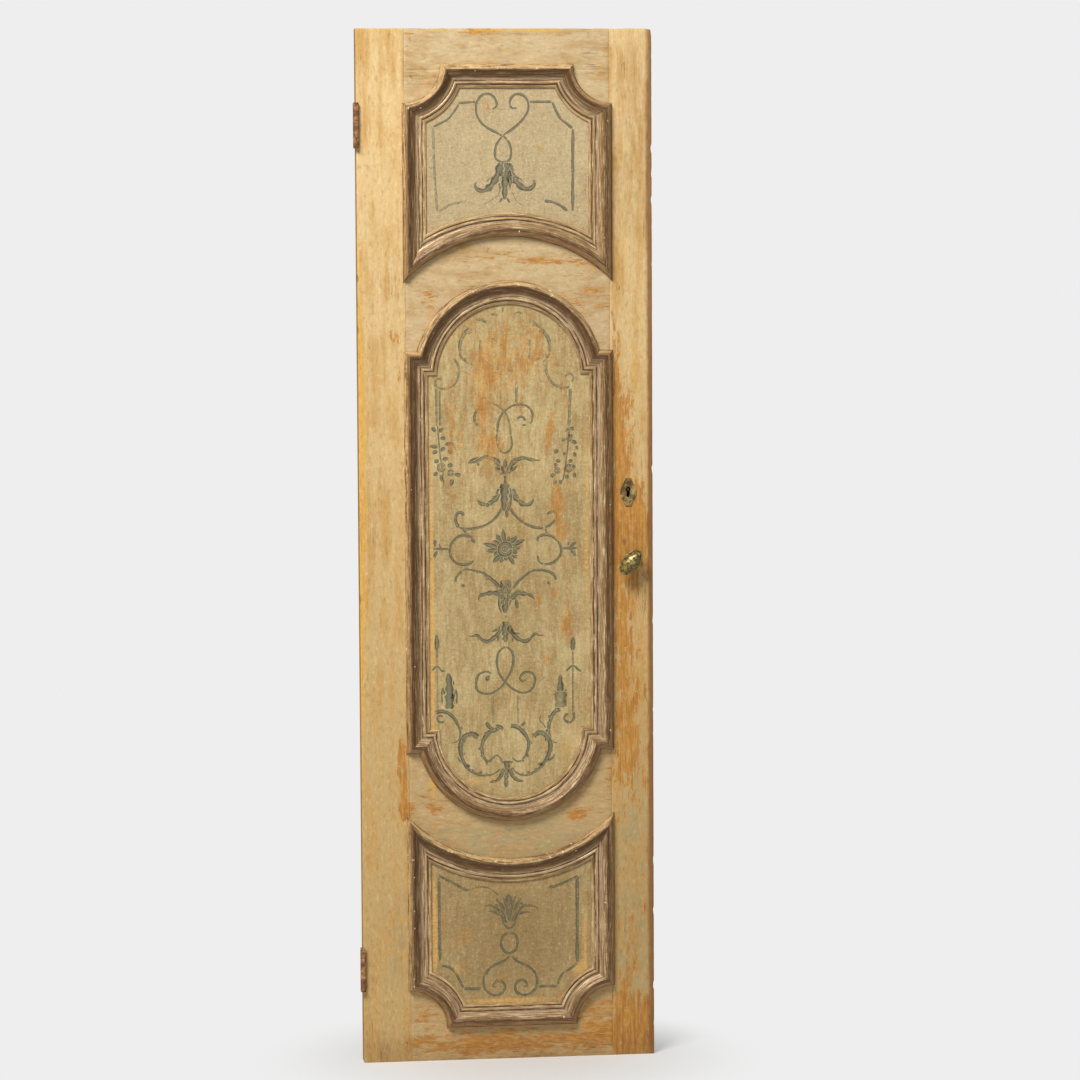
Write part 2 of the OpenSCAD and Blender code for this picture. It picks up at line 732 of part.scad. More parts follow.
module dead_bolt() {
    slot_z = bolt_z + bolt_h / 2;
    slot_r = guide_r + sliding;
    color(dark_iron) place() difference() {
        translate([leaf_w - bolt_l, bolt_y, bolt_z]) cube([bolt_l, bolt_t, bolt_h]);
        for (x = [guide_x - bolt_throw, guide_x])
            along_y(x, bolt_y - 1, slot_z, slot_r, bolt_t + 2);
        translate([guide_x - bolt_throw, bolt_y - 1, slot_z - slot_r])
            cube([bolt_throw, bolt_t + 2, 2 * slot_r]);
        translate([bit_notch_x, bolt_y - 1, bolt_z - 1])
            cube([bit_notch[0], bolt_t + 2, bit_notch[1]]);
    }
}
module bolt_spring() {
    spring_w = bolt_t - 2 * spring_side;
    rise = case_z + case_h - case_t - bolt_z - bolt_h - spring_foot[1] - spring_t;
    color(rusty_iron) place() translate([spring_x, bolt_y + spring_side, bolt_z + bolt_h]) {
        cube([spring_foot[0], spring_w, spring_foot[1]]);
        translate([spring_foot[0] - 1, 0, 0]) rotate([0, -atan2(rise, spring_l), 0])
            cube([spring_l, spring_w, spring_t]);
    }
}
module lock_screws() { color(dark_iron) place() lock_screw_set(); }

// Knob: an oval of four arcs, domed, on a round neck
module oval(a, b, r) {
    c = a - r;
    d = (c * c - pow(b - r, 2)) / (2 * (b - r));
    side = b + d;
    touch = c * side / (side - r);
    for (s = [-1, 1]) translate([s * c, 0]) circle(r = r, $fn = 48);
    intersection() {
        translate([0, -d]) circle(r = side, $fn = 120);
        translate([0, d]) circle(r = side, $fn = 120);
        translate([-touch, -b]) square([2 * touch, 2 * b]);
    }
}
module knob_shape() {
    dome_r = 62;
    rim_y = -knob_proud + 11;
    along_y(0, -head_back - 1, 0, neck_r, head_back + 1 - neck_gap);
    plate(rim_y, -rim_y - head_back) oval(knob_a, knob_b, knob_end_r);
    intersection() {
        plate(-knob_proud, knob_proud - head_back) oval(knob_a - 3, knob_b - 3, knob_end_r - 3);
        translate([0, dome_r - knob_proud, 0]) sphere(r = dome_r, $fn = 120);
    }
}
module knob() {
    color(brass) place() difference() {
        translate([knob_x, 0, knob_z]) rotate([0, -knob_tilt, 0]) knob_shape();
        along_y(knob_x, -head_back, knob_z, spindle_r + running, head_back + 1);
    }
}
module knob_spindle() {
    color(dark_iron) place()
        along_y(knob_x, -head_back, knob_z, spindle_r, head_back + catch_y + catch_t + 2);
}
module spindle_washer() {
    color(dark_iron) place() difference() {
        along_y(knob_x, leaf_t, knob_z, spindle_r * 2, washer_t);
        along_y(knob_x, leaf_t - 1, knob_z, spindle_r + running, washer_t + 2);
    }
}
module catch_bar() {
    color(rusty_iron) place() difference() {
        translate([knob_x, 0, knob_z]) rotate([0, 180 - knob_tilt, 0]) union() {
            along_y(0, catch_y, 0, catch_w / 2, catch_t);
            translate([0, catch_y, -catch_w / 2]) cube([catch_l - catch_w / 2, catch_t, catch_w]);
            along_y(catch_l - catch_w / 2, catch_y, 0, catch_w / 2, catch_t);
        }
        along_y(knob_x, catch_y - 1, knob_z, spindle_r + running, catch_t + 2);
    }
}

hinge_stile();
lock_stile();
top_rail();
upper_middle_rail();
lower_middle_rail();
bottom_rail();
upper_hinge_side_corner_block();
upper_lock_side_corner_block();
lower_hinge_side_corner_block();
lower_lock_side_corner_block();
top_panel();
centre_panel();
bottom_panel();
joint_pegs();
top_moulding_head();
top_moulding_hinge_side_corner();
top_moulding_lock_side_corner();
top_moulding_hinge_side();
top_moulding_lock_side();
top_moulding_bow();
centre_moulding_head();
centre_moulding_upper_hinge_side_shoulder();
centre_moulding_upper_lock_side_shoulder();
centre_moulding_hinge_side();
centre_moulding_lock_side();
centre_moulding_lower_hinge_side_shoulder();
centre_moulding_lower_lock_side_shoulder();
centre_moulding_foot();
bottom_moulding_bow();
bottom_moulding_hinge_side();
bottom_moulding_lock_side();
bottom_moulding_hinge_side_corner();
bottom_moulding_lock_side_corner();
bottom_moulding_foot();
moulding_brads();
upper_door_leaf();
upper_jamb_leaf();
upper_hinge_pin();
lower_door_leaf();
lower_jamb_leaf();
lower_hinge_pin();
hinge_screws();
escutcheon();
escutcheon_pins();
lock_case();
lock_cap();
key_pin();
dead_bolt();
bolt_spring();
bolt_guide();
lock_screws();
knob();
knob_spindle();
catch_bar();
spindle_washer();
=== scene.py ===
"""Looks of a weathered, painted and gilded door leaf, built round its construction model."""

import json
import logging
import math
from dataclasses import dataclass
from enum import Enum
from typing import Callable, Iterable, Optional, Sequence, Union

import bmesh
import bpy
from mathutils import Matrix, Vector, noise


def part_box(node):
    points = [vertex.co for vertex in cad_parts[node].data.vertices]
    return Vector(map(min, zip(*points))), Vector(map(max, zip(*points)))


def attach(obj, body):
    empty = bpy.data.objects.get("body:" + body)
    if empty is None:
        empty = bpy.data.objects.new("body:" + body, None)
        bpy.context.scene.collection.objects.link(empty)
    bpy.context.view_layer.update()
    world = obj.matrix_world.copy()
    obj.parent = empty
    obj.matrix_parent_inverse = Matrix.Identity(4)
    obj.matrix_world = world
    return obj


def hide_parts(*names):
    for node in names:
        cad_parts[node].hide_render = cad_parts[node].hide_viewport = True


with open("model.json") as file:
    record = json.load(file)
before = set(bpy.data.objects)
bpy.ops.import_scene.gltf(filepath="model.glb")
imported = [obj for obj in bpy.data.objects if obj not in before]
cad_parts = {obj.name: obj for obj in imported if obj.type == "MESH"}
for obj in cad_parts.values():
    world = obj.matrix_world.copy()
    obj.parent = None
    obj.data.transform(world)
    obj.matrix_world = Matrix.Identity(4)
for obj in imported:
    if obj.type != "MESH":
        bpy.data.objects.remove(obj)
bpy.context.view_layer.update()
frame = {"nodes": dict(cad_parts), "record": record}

log = logging.getLogger("door")

MM = 0.001
Point = tuple[float, float]
Colour = tuple[float, float, float]
Socket = bpy.types.NodeSocket
Value = Union[float, Socket]


# ---------------------------------------------------------------- the plan of the door


@dataclass(frozen=True)
class DoorPlan:
    """The door's main lines in millimetres, from its hinge edge, front face and foot.

    x runs from the hinge edge to the lock edge, y from the front to the back, z up.
    """

    origin: Vector
    leaf_w: float
    leaf_h: float
    leaf_t: float
    stile_in: float
    stile_out: float
    frame_lo: float
    frame_hi: float
    head_z: float
    crown_z: float
    shoulder_lo: float
    shoulder_hi: float
    foot_z: float
    mould_w: float = 48.0
    mould_h: float = 17.3
    lap: float = 5.0
    corner_r: float = 78.0
    bow_rise: float = 91.35
    arch_inset: float = 19.0
    shoulder_rise: float = 52.0
    panel_t: float = 22.0
    hinge_t: float = 2.2
    hinge_w: float = 27.0

    @classmethod
    def from_frame(cls) -> "DoorPlan":
        """Reads the main lines off the construction model.

        Returns:
            The plan, with every place measured from the leaf's own corner.
        """
        low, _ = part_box("hinge_stile")
        _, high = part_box("lock_stile")
        size = (high - low) / MM

        def x_of(node: str, top: bool) -> float:
            """Distance of one side of a node from the hinge edge, in millimetres."""
            return (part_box(node)[int(top)].x - low.x) / MM

        def z_of(node: str, top: bool) -> float:
            """Height of the top or the bottom of a node, in millimetres."""
            return (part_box(node)[int(top)].z - low.z) / MM

        return cls(
            origin=low,
            leaf_w=size.x,
            leaf_h=size.z,
            leaf_t=size.y,
            stile_in=x_of("hinge_stile", True),
            stile_out=x_of("lock_stile", False),
            frame_lo=x_of("top_moulding_hinge_side", False),
            frame_hi=x_of("top_moulding_lock_side", True),
            head_z=z_of("top_moulding_head", True),
            crown_z=z_of("top_moulding_bow", True) - cls.mould_w,
            shoulder_lo=z_of("centre_moulding_hinge_side", False),
            shoulder_hi=z_of("centre_moulding_hinge_side", True),
            foot_z=z_of("bottom_moulding_foot", False),
        )

    @property
    def axis(self) -> float:
        """Middle line of the moulding frames."""
        return (self.frame_lo + self.frame_hi) / 2

    @property
    def half_w(self) -> float:
        """Half the width of the moulding frames."""
        return (self.frame_hi - self.frame_lo) / 2

    @property
    def bow_r(self) -> float:
        """Radius of the bowed side of the two end frames."""
        return (self.half_w**2 + self.bow_rise**2) / (2 * self.bow_rise)

    @property
    def bow_z(self) -> float:
        """Height of the centre of the top frame's bow."""
        return self.crown_z - self.bow_r

    @property
    def arch_r(self) -> float:
        """Radius of the centre frame's end arcs."""
        return self.half_w - self.arch_inset

    @property
    def arch_hi(self) -> float:
        """Height of the centre of the upper end arc."""
        return self.shoulder_hi - self.shoulder_rise

    @property
    def arch_lo(self) -> float:
        """Height of the centre of the lower end arc."""
        return self.shoulder_lo + self.shoulder_rise

    def turned(self, z: float) -> float:
        """Height in the bottom frame of what is at z in the top frame."""
        return self.head_z + self.foot_z - z

    def place(self, x: float, y: float, z: float) -> Vector:
        """A place in the shared frame, in metres, from millimetres on the door."""
        return self.origin + Vector((x, y, z)) * MM


# ---------------------------------------------------------------- node materials


def paint(red: float, green: float, blue: float) -> tuple[float, float, float, float]:
    """Turns a colour as it is seen, 0 to 255, into the linear one that shaders take.

    Args:
        red: Red, 0 to 255.
        green: Green, 0 to 255.
        blue: Blue, 0 to 255.

    Returns:
        The linear colour with an alpha of 1.
    """

    def linear(c: float) -> float:
        """One channel, made linear."""
        c /= 255.0
        return c / 12.92 if c <= 0.04045 else ((c + 0.055) / 1.055) ** 2.4

    return linear(red), linear(green), linear(blue), 1.0


class Graph:
    """Builds the nodes of one material."""

    def __init__(self, name: str) -> None:
        """Starts an empty node material.

        Args:
            name: The material's name.
        """
        self.material = bpy.data.materials.new(name)
        self.material.use_nodes = True
        self.nodes = self.material.node_tree.nodes
        self.links = self.material.node_tree.links
        self.nodes.clear()
        self.space = self.add("ShaderNodeTexCoord").outputs["Object"]

    def add(self, kind: str, **settings: object) -> bpy.types.Node:
        """Adds a node and sets its properties."""
        node = self.nodes.new(kind)
        for key, value in settings.items():
            setattr(node, key, value)
        return node

    def feed(self, socket: Socket, value: object) -> None:
        """Links a socket to another, or sets its own value."""
        if isinstance(value, bpy.types.NodeSocket):
            self.links.new(value, socket)
        else:
            socket.default_value = value

    def stretched(self, x: float, y: float, z: float) -> Socket:
        """Object coordinates with each axis multiplied."""
        node = self.add("ShaderNodeMapping")
        self.feed(node.inputs["Vector"], self.space)
        node.inputs["Scale"].default_value = (x, y, z)
        return node.outputs["Vector"]

    def noise(self, size: float, detail: float = 3.0, rough: float = 0.55,
              space: Optional[Socket] = None, bend: float = 0.0) -> Socket:
        """Noise whose lumps are about size metres across.

        Args:
            size: Size of the largest lumps, in metres.
            detail: Number of finer layers.
            rough: Weight of the finer layers.
            space: Coordinates to read, or None for plain object coordinates.
            bend: How much the pattern is bent by itself.

        Returns:
            The noise's value, around 0.5.
        """
        node = self.add("ShaderNodeTexNoise")
        self.feed(node.inputs["Vector"], space or self.space)
        for key, value in (("Scale", 1 / size), ("Detail", detail), ("Roughness", rough),
                           ("Distortion", bend)):
            node.inputs[key].default_value = value
        return node.outputs["Fac"]

    def cells(self, size: float, space: Optional[Socket] = None) -> Socket:
        """Distance to the nearest border of irregular cells, for fine crazing."""
        node = self.add("ShaderNodeTexVoronoi", feature="DISTANCE_TO_EDGE")
        self.feed(node.inputs["Vector"], space or self.space)
        node.inputs["Scale"].default_value = 1 / size
        return node.outputs["Distance"]

    def attribute(self, name: str) -> Socket:
        """A value painted on the mesh's points."""
        return self.add("ShaderNodeAttribute", attribute_name=name).outputs["Fac"]

    def axis(self, index: int) -> Socket:
        """One of the object coordinates."""
        node = self.add("ShaderNodeSeparateXYZ")
        self.feed(node.inputs[0], self.space)
        return node.outputs[index]

    def math(self, operation: str, a: Value, b: Value = 0.0) -> Socket:
        """A sum, product or other simple step."""
        node = self.add("ShaderNodeMath", operation=operation)
        self.feed(node.inputs[0], a)
        self.feed(node.inputs[1], b)
        return node.outputs[0]

    def times(self, a: Value, b: Value) -> Socket:
        """The product of two values."""
        return self.math("MULTIPLY", a, b)

    def total(self, *terms: tuple[Value, float]) -> Socket:
        """Adds values up, each with its weight.

        Args:
            terms: Pairs of a value and its weight.

        Returns:
            The weighted sum.
        """
        result: Optional[Socket] = None
        for value, weight in terms:
            node = self.add("ShaderNodeMath", operation="MULTIPLY_ADD")
            self.feed(node.inputs[0], value)
            node.inputs[1].default_value = weight
            self.feed(node.inputs[2], result if result is not None else 0.0)
            result = node.outputs[0]
        return result

    def step(self, value: Value, low: float, high: float) -> Socket:
        """A smooth 0 to 1 as value goes from low to high, which may be reversed."""
        node = self.add("ShaderNodeMapRange", interpolation_type="SMOOTHSTEP", clamp=True)
        self.feed(node.inputs["Value"], value)
        first, last = (0.0, 1.0) if low < high else (1.0, 0.0)
        for key, number in (("From Min", min(low, high)), ("From Max", max(low, high)),
                            ("To Min", first), ("To Max", last)):
            node.inputs[key].default_value = number
        return node.outputs["Result"]

    def mix(self, amount: Value, a: object, b: object, blend: str = "MIX") -> Socket:
        """Mixes two colours by an amount."""
        node = self.add("ShaderNodeMix", data_type="RGBA", blend_type=blend)
        self.feed(node.inputs["Factor"], amount)
        self.feed(node.inputs[6], a)
        self.feed(node.inputs[7], b)
        return node.outputs[2]

    def ramp(self, value: Value, *stops: tuple[float, Colour]) -> Socket:
        """A run of colours along a value.

        Args:
            value: Where to look, 0 to 1.
            stops: Pairs of a place and the colour there, in rising order.

        Returns:
            The colour at that place.
        """
        node = self.add("ShaderNodeValToRGB")
        self.feed(node.inputs[0], value)
        elements = node.color_ramp.elements
        elements.remove(elements[1])
        elements[0].position, elements[0].color = stops[0][0], paint(*stops[0][1])
        for place, colour in stops[1:]:
            elements.new(place).color = paint(*colour)
        return node.outputs[0]

    def relief(self, *layers: tuple[Value, float]) -> Socket:
        """Bumps from heights in metres.

        Args:
            layers: Pairs of a 0 to 1 pattern and its depth in metres.

        Returns:
            The bumped normal.
        """
        node = self.add("ShaderNodeBump")
        self.feed(node.inputs["Height"], self.total(*[(v, d / MM) for v, d in layers]))
        node.inputs["Distance"].default_value = MM
        node.inputs["Strength"].default_value = 1.0
        return node.outputs["Normal"]

    def surface(self, colour: object, rough: Value, normal: Optional[Socket] = None,
                metal: Value = 0.0, specular: float = 0.5,
                coat: float = 0.0) -> bpy.types.Material:
        """Closes the graph with a principled shader.

        Args:
            colour: Base colour, or its socket.
            rough: Roughness, or its socket.
            normal: Bumped normal.
            metal: Metallic share, or its socket.
            specular: Specular level.
            coat: Weight of a clear varnish on top.

        Returns:
            The finished material.
        """
        shader = self.add("ShaderNodeBsdfPrincipled")
        self.feed(shader.inputs["Base Color"], colour)
        self.feed(shader.inputs["Roughness"], rough)
        self.feed(shader.inputs["Metallic"], metal)
        shader.inputs["Specular IOR Level"].default_value = specular
        shader.inputs["Coat Weight"].default_value = coat
        shader.inputs["Coat Roughness"].default_value = 0.34
        if normal is not None:
            self.feed(shader.inputs["Normal"], normal)
        end = self.add("ShaderNodeOutputMaterial")
        self.links.new(shader.outputs[0], end.inputs["Surface"])
        return self.material


class Grain(Enum):
    """Which way the wood's grain runs."""

    UPRIGHT = "upright"
    LEVEL = "level"

    def stretch(self, length: float) -> tuple[float, float, float]:
        """Multipliers that draw a pattern out along the grain by length."""
        return (1.0, 1.0, 1 / length) if self is Grain.UPRIGHT else (1 / length, 1.0, 1.0)


@dataclass(frozen=True)
class FramePaint:
    """Distemper on the stiles and rails, rubbed through to the orange-brown wood."""

    name: str
    grain: Grain
    head: Colour = (226, 196, 142)
    foot: Colour = (199, 168, 112)
    streak: Colour = (202, 160, 96)
    golden: Colour = (222, 172, 82)
    worn_light: Colour = (205, 146, 62)
    worn_dark: Colour = (172, 110, 40)
    remnant: Colour = (172, 158, 116)
    # Dark brown for specks, scuffs and grime, and for the painted shade and shadow along the lock
    # edge, beside the lock-side moulding and by the knob.
    speck: Colour = (132, 88, 46)
    blush: Colour = (212, 158, 92)
    fleck: Colour = (238, 218, 178)
    draw: float = 12.0
    smear: float = 3.6
    specked: float = 0.35
    side: Colour = (196, 152, 84)
    back: Colour = (168, 136, 96)

    def material(self, plan: DoorPlan) -> bpy.types.Material:
        """Builds the finish.

        Args:
            plan: The door's main lines.

        Returns:
            The material, which reads the points' worn, golden and grey values.
        """
        g = Graph(self.name)
        fibres = g.noise(0.004, 5, 0.6, g.stretched(*self.grain.stretch(self.draw)))
        bands = g.noise(0.016, 3, 0.5, g.stretched(*self.grain.stretch(self.draw * 0.7)))
        dabs = g.noise(0.011, 5, 0.7, g.stretched(*self.grain.stretch(self.smear)), 0.4)
        speckle = g.noise(0.0055, 4, 0.7, g.stretched(*self.grain.stretch(self.smear * 0.7)),
                          0.3)
        grit = g.noise(0.0022, 2, 0.5)
        clouds = g.noise(0.11, 3, 0.5)
        height = g.step(g.axis(2), 0.1, plan.leaf_h * MM)
        colour = g.mix(height, paint(*self.foot), paint(*self.head))
        colour = g.mix(g.step(g.total((bands, 1), (clouds, 0.6)), 0.68, 1.08), colour,
                       paint(*self.streak))
        colour = g.mix(g.math("MULTIPLY", g.step(fibres, 0.42, 0.68), 0.35), colour,
                       paint(*self.streak))
        gold = g.total((g.attribute("golden"), 1), (bands, 0.5), (dabs, 0.4))
        colour = g.mix(g.math("MULTIPLY", g.step(gold, 0.72, 1.05), 0.9), colour,
                       paint(*self.golden))
        blush = g.step(g.total((g.noise(0.009, 4, 0.7, g.stretched(*self.grain.stretch(1.8))),
                                1), (clouds, 0.35)), 0.76, 0.86)
        colour = g.mix(g.math("MULTIPLY", blush, self.specked), colour, paint(*self.blush))
        bare = g.total((g.attribute("worn"), 1), (dabs, 0.9), (speckle, 0.5), (fibres, 0.3))
        bare_mask = g.step(bare, 1.16, 1.22)
        wood = g.mix(g.step(fibres, 0.35, 0.65), paint(*self.worn_light), paint(*self.worn_dark))
        colour = g.mix(g.math("MULTIPLY", bare_mask, 0.85), colour, wood)
        grey = g.total((g.attribute("grey"), 1), (dabs, -0.7), (speckle, 0.6))
        grey_mask = g.step(grey, 0.32, 0.52)
        remnant = g.mix(g.step(dabs, 0.4, 0.6), paint(*self.remnant), paint(*self.streak))
        colour = g.mix(g.math("MULTIPLY", grey_mask, 0.7), colour, remnant)
        flecks = g.math("MULTIPLY", g.step(speckle, 0.57, 0.66), 0.18)
        colour = g.mix(flecks, colour, paint(*self.fleck))
        scuffs = g.math("MULTIPLY", g.step(speckle, 0.43, 0.34), 0.2)
        colour = g.mix(scuffs, colour, paint(*self.speck))
        # Grime from the points' values, and painted shade: along the lock edge, right of the
        # lock-side moulding and right of the knob these values stand for shade and cast shadow.
        stain_and_shade = g.step(g.total((g.attribute("dirt_and_shade"), 1), (dabs, 0.5), (fibres, 0.3)), 0.55, 1.2)
        colour = g.mix(g.math("MULTIPLY", stain_and_shade, 0.85), colour, paint(*self.speck))
        spots = g.step(g.noise(0.0045, 2, 0.7), 0.66, 0.72)
        colour = g.mix(g.math("MULTIPLY", spots, 0.4), colour, paint(*self.speck))
        check = g.noise(0.007, 2, 0.5, g.stretched(*self.grain.stretch(55)))
        crack = g.step(g.math("ABSOLUTE", g.math("SUBTRACT", check, 0.5)), 0.005, 0.0)
        crack = g.math("MULTIPLY", crack, g.step(clouds, 0.54, 0.64))
        colour = g.mix(g.math("MULTIPLY", crack, 0.6), colour, paint(92, 60, 32))
        lit = g.total((fibres, 0.26), (speckle, 0.5), (grit, 0.3), (0.47, 1))
        colour = g.mix(1.0, colour, lit, "MULTIPLY")
        depth = g.total((g.axis(1), 1 / MM), (plan.origin.y / MM, -1))
        flank = g.mix(g.step(fibres, 0.35, 0.7), paint(*self.side), paint(*self.worn_dark))
        rear = g.mix(g.step(g.total((fibres, 0.6), (clouds, 0.5)), 0.4, 0.75), paint(*self.back),
                     paint(132, 102, 70))
        rear = g.mix(g.math("MULTIPLY", spots, 0.6), rear, paint(70, 52, 36))
        colour = g.mix(g.step(depth, 1.2, 3.0), colour, flank)
        colour = g.mix(g.step(depth, 21.0, 26.0), colour, rear)
        normal = g.relief((fibres, 0.3 * MM), (grit, 0.1 * MM), (speckle, 0.35 * MM),
                          (bare_mask, -0.14 * MM), (crack, -0.5 * MM), (grey_mask, 0.1 * MM))
        rough = g.total((fibres, 0.25), (bare_mask, -0.12), (0.55, 1))
        return g.surface(colour, rough, normal, specular=0.3)


@dataclass(frozen=True)
class PanelPaint:
    """Thin crazed paint on a panel, with or without the ornament's pigment over it."""

    name: str
    light: Colour = (202, 180, 129)
    dark: Colour = (174, 147, 97)
    pale: Colour = (195, 175, 137)
    olive: Colour = (156, 129, 84)
    worn_light: Colour = (208, 164, 97)
    worn_dark: Colour = (187, 130, 63)
    golden: Colour = (222, 176, 104)
    fleck: Colour = (230, 210, 168)
    pigment: Colour = (118, 120, 98)
    pigment_dark: Colour = (56, 62, 50)
    teal: Colour = (78, 96, 84)
    back: Colour = (168, 136, 96)

    def material(self, plan: DoorPlan, ornament: bool) -> bpy.types.Material:
        """Builds the finish.

        Args:
            plan: The door's main lines.
            ornament: Whether the pigment of the scrollwork lies over the ground.

        Returns:
            The material, which reads the points' worn, golden, grey, ink and tone values.
        """
        g = Graph(self.name + ("_ornament" if ornament else ""))
        warp = g.noise(0.0036, 3, 0.6, g.stretched(1, 1, 0.22))
        weft = g.noise(0.0030, 3, 0.6, g.stretched(0.2, 1, 1))
        runs = g.noise(0.011, 5, 0.7, g.stretched(1, 1, 0.22), 0.3)
        dabs = g.noise(0.010, 5, 0.7, g.stretched(1, 1, 0.6), 0.3)
        speckle = g.noise(0.0055, 4, 0.7, bend=0.3)
        clouds = g.noise(0.09, 3, 0.5)
        grit = g.noise(0.0021, 2, 0.5)
        colour = g.mix(g.step(g.total((clouds, 0.4), (runs, 0.9)), 0.48, 0.84),
                       paint(*self.light), paint(*self.dark))
        sweeps = g.noise(0.0045, 3, 0.6, g.stretched(1, 1, 0.09))
        colour = g.mix(g.math("MULTIPLY", g.step(sweeps, 0.56, 0.68), 0.4), colour,
                       paint(*self.fleck))
        colour = g.mix(g.math("MULTIPLY", g.step(sweeps, 0.44, 0.33), 0.4), colour,
                       paint(*self.worn_dark))
        colour = g.mix(g.math("MULTIPLY", g.step(g.axis(2), 1.60, 1.74), 0.75), colour,
                       paint(*self.pale))
        low = g.math("MULTIPLY", g.attribute("grey"), g.step(dabs, 0.2, 0.5))
        colour = g.mix(low, colour, paint(*self.olive))
        gold = g.total((g.attribute("golden"), 1), (runs, 0.5), (dabs, 0.3))
        colour = g.mix(g.math("MULTIPLY", g.step(gold, 0.62, 0.95), 0.85), colour,
                       paint(*self.golden))
        flecks = g.math("MULTIPLY", g.step(speckle, 0.56, 0.66), 0.22)
        colour = g.mix(flecks, colour, paint(*self.fleck))
        scuffs = g.math("MULTIPLY", g.step(speckle, 0.44, 0.34), 0.18)
        colour = g.mix(scuffs, colour, paint(128, 92, 54))
        tears = g.noise(0.006, 4, 0.75, g.stretched(1, 1, 0.3), 0.2)
        bare = g.total((g.attribute("worn"), 0.8), (tears, 1.1), (runs, 0.6), (warp, 0.4))
        bare_mask = g.step(bare, 1.22, 1.42)
        wood = g.mix(g.step(runs, 0.35, 0.62), paint(*self.worn_light), paint(*self.worn_dark))
        colour = g.mix(g.math("MULTIPLY", bare_mask, 0.85), colour, wood)
        if ornament:
            cover = g.total((g.attribute("ink"), 1), (dabs, -0.5), (speckle, -0.6),
                            (bare_mask, -0.35))
            cover = g.math("MULTIPLY", g.step(cover, -0.2, 0.42), 0.9)
            body = g.mix(g.step(g.axis(2), 0.45, 0.35), paint(*self.pigment), paint(*self.teal))
            tone = g.total((g.attribute("tone"), 1), (speckle, 0.9), (dabs, 0.9), (-0.83, 1))
            pigment = g.mix(g.step(tone, 0.0, 1.0), body, paint(*self.pigment_dark))
            colour = g.mix(cover, colour, pigment)
        craze = g.step(g.cells(0.0075, g.stretched(1, 1, 1.6)), 0.06, 0.0)
        craze = g.math("MULTIPLY", craze, g.step(clouds, 0.3, 0.55))
        colour = g.mix(g.math("MULTIPLY", craze, 0.4), colour, paint(120, 88, 52))
        # Grime from the points' values, and painted shadow: the band just under the centre frame's
        # upper arch stands for the arch's cast shadow.
        stain_and_shade = g.step(g.total((g.attribute("dirt_and_shade"), 1), (dabs, 0.5)), 0.5, 1.1)
        colour = g.mix(g.math("MULTIPLY", stain_and_shade, 0.85), colour, paint(104, 66, 34))
        spots = g.step(g.noise(0.004, 2, 0.7), 0.66, 0.73)
        colour = g.mix(g.math("MULTIPLY", spots, 0.5), colour, paint(128, 92, 54))
        lit = g.total((warp, 0.3), (weft, 0.35), (speckle, 0.5), (grit, 0.3), (0.27, 1))
        colour = g.mix(1.0, colour, lit, "MULTIPLY")
        depth = g.total((g.axis(1), 1 / MM), (plan.origin.y / MM, -1))
        rear = g.mix(g.step(g.total((runs, 0.6), (clouds, 0.5)), 0.4, 0.75), paint(*self.back),
                     paint(142, 114, 80))
        colour = g.mix(g.step(depth, 6.0, 14.0), colour, rear)
        normal = g.relief((warp, 0.16 * MM), (weft, 0.16 * MM), (dabs, 0.16 * MM),
                          (craze, -0.12 * MM), (bare_mask, -0.12 * MM))
        return g.surface(colour, g.total((warp, 0.2), (0.62, 1)), normal, specular=0.3)


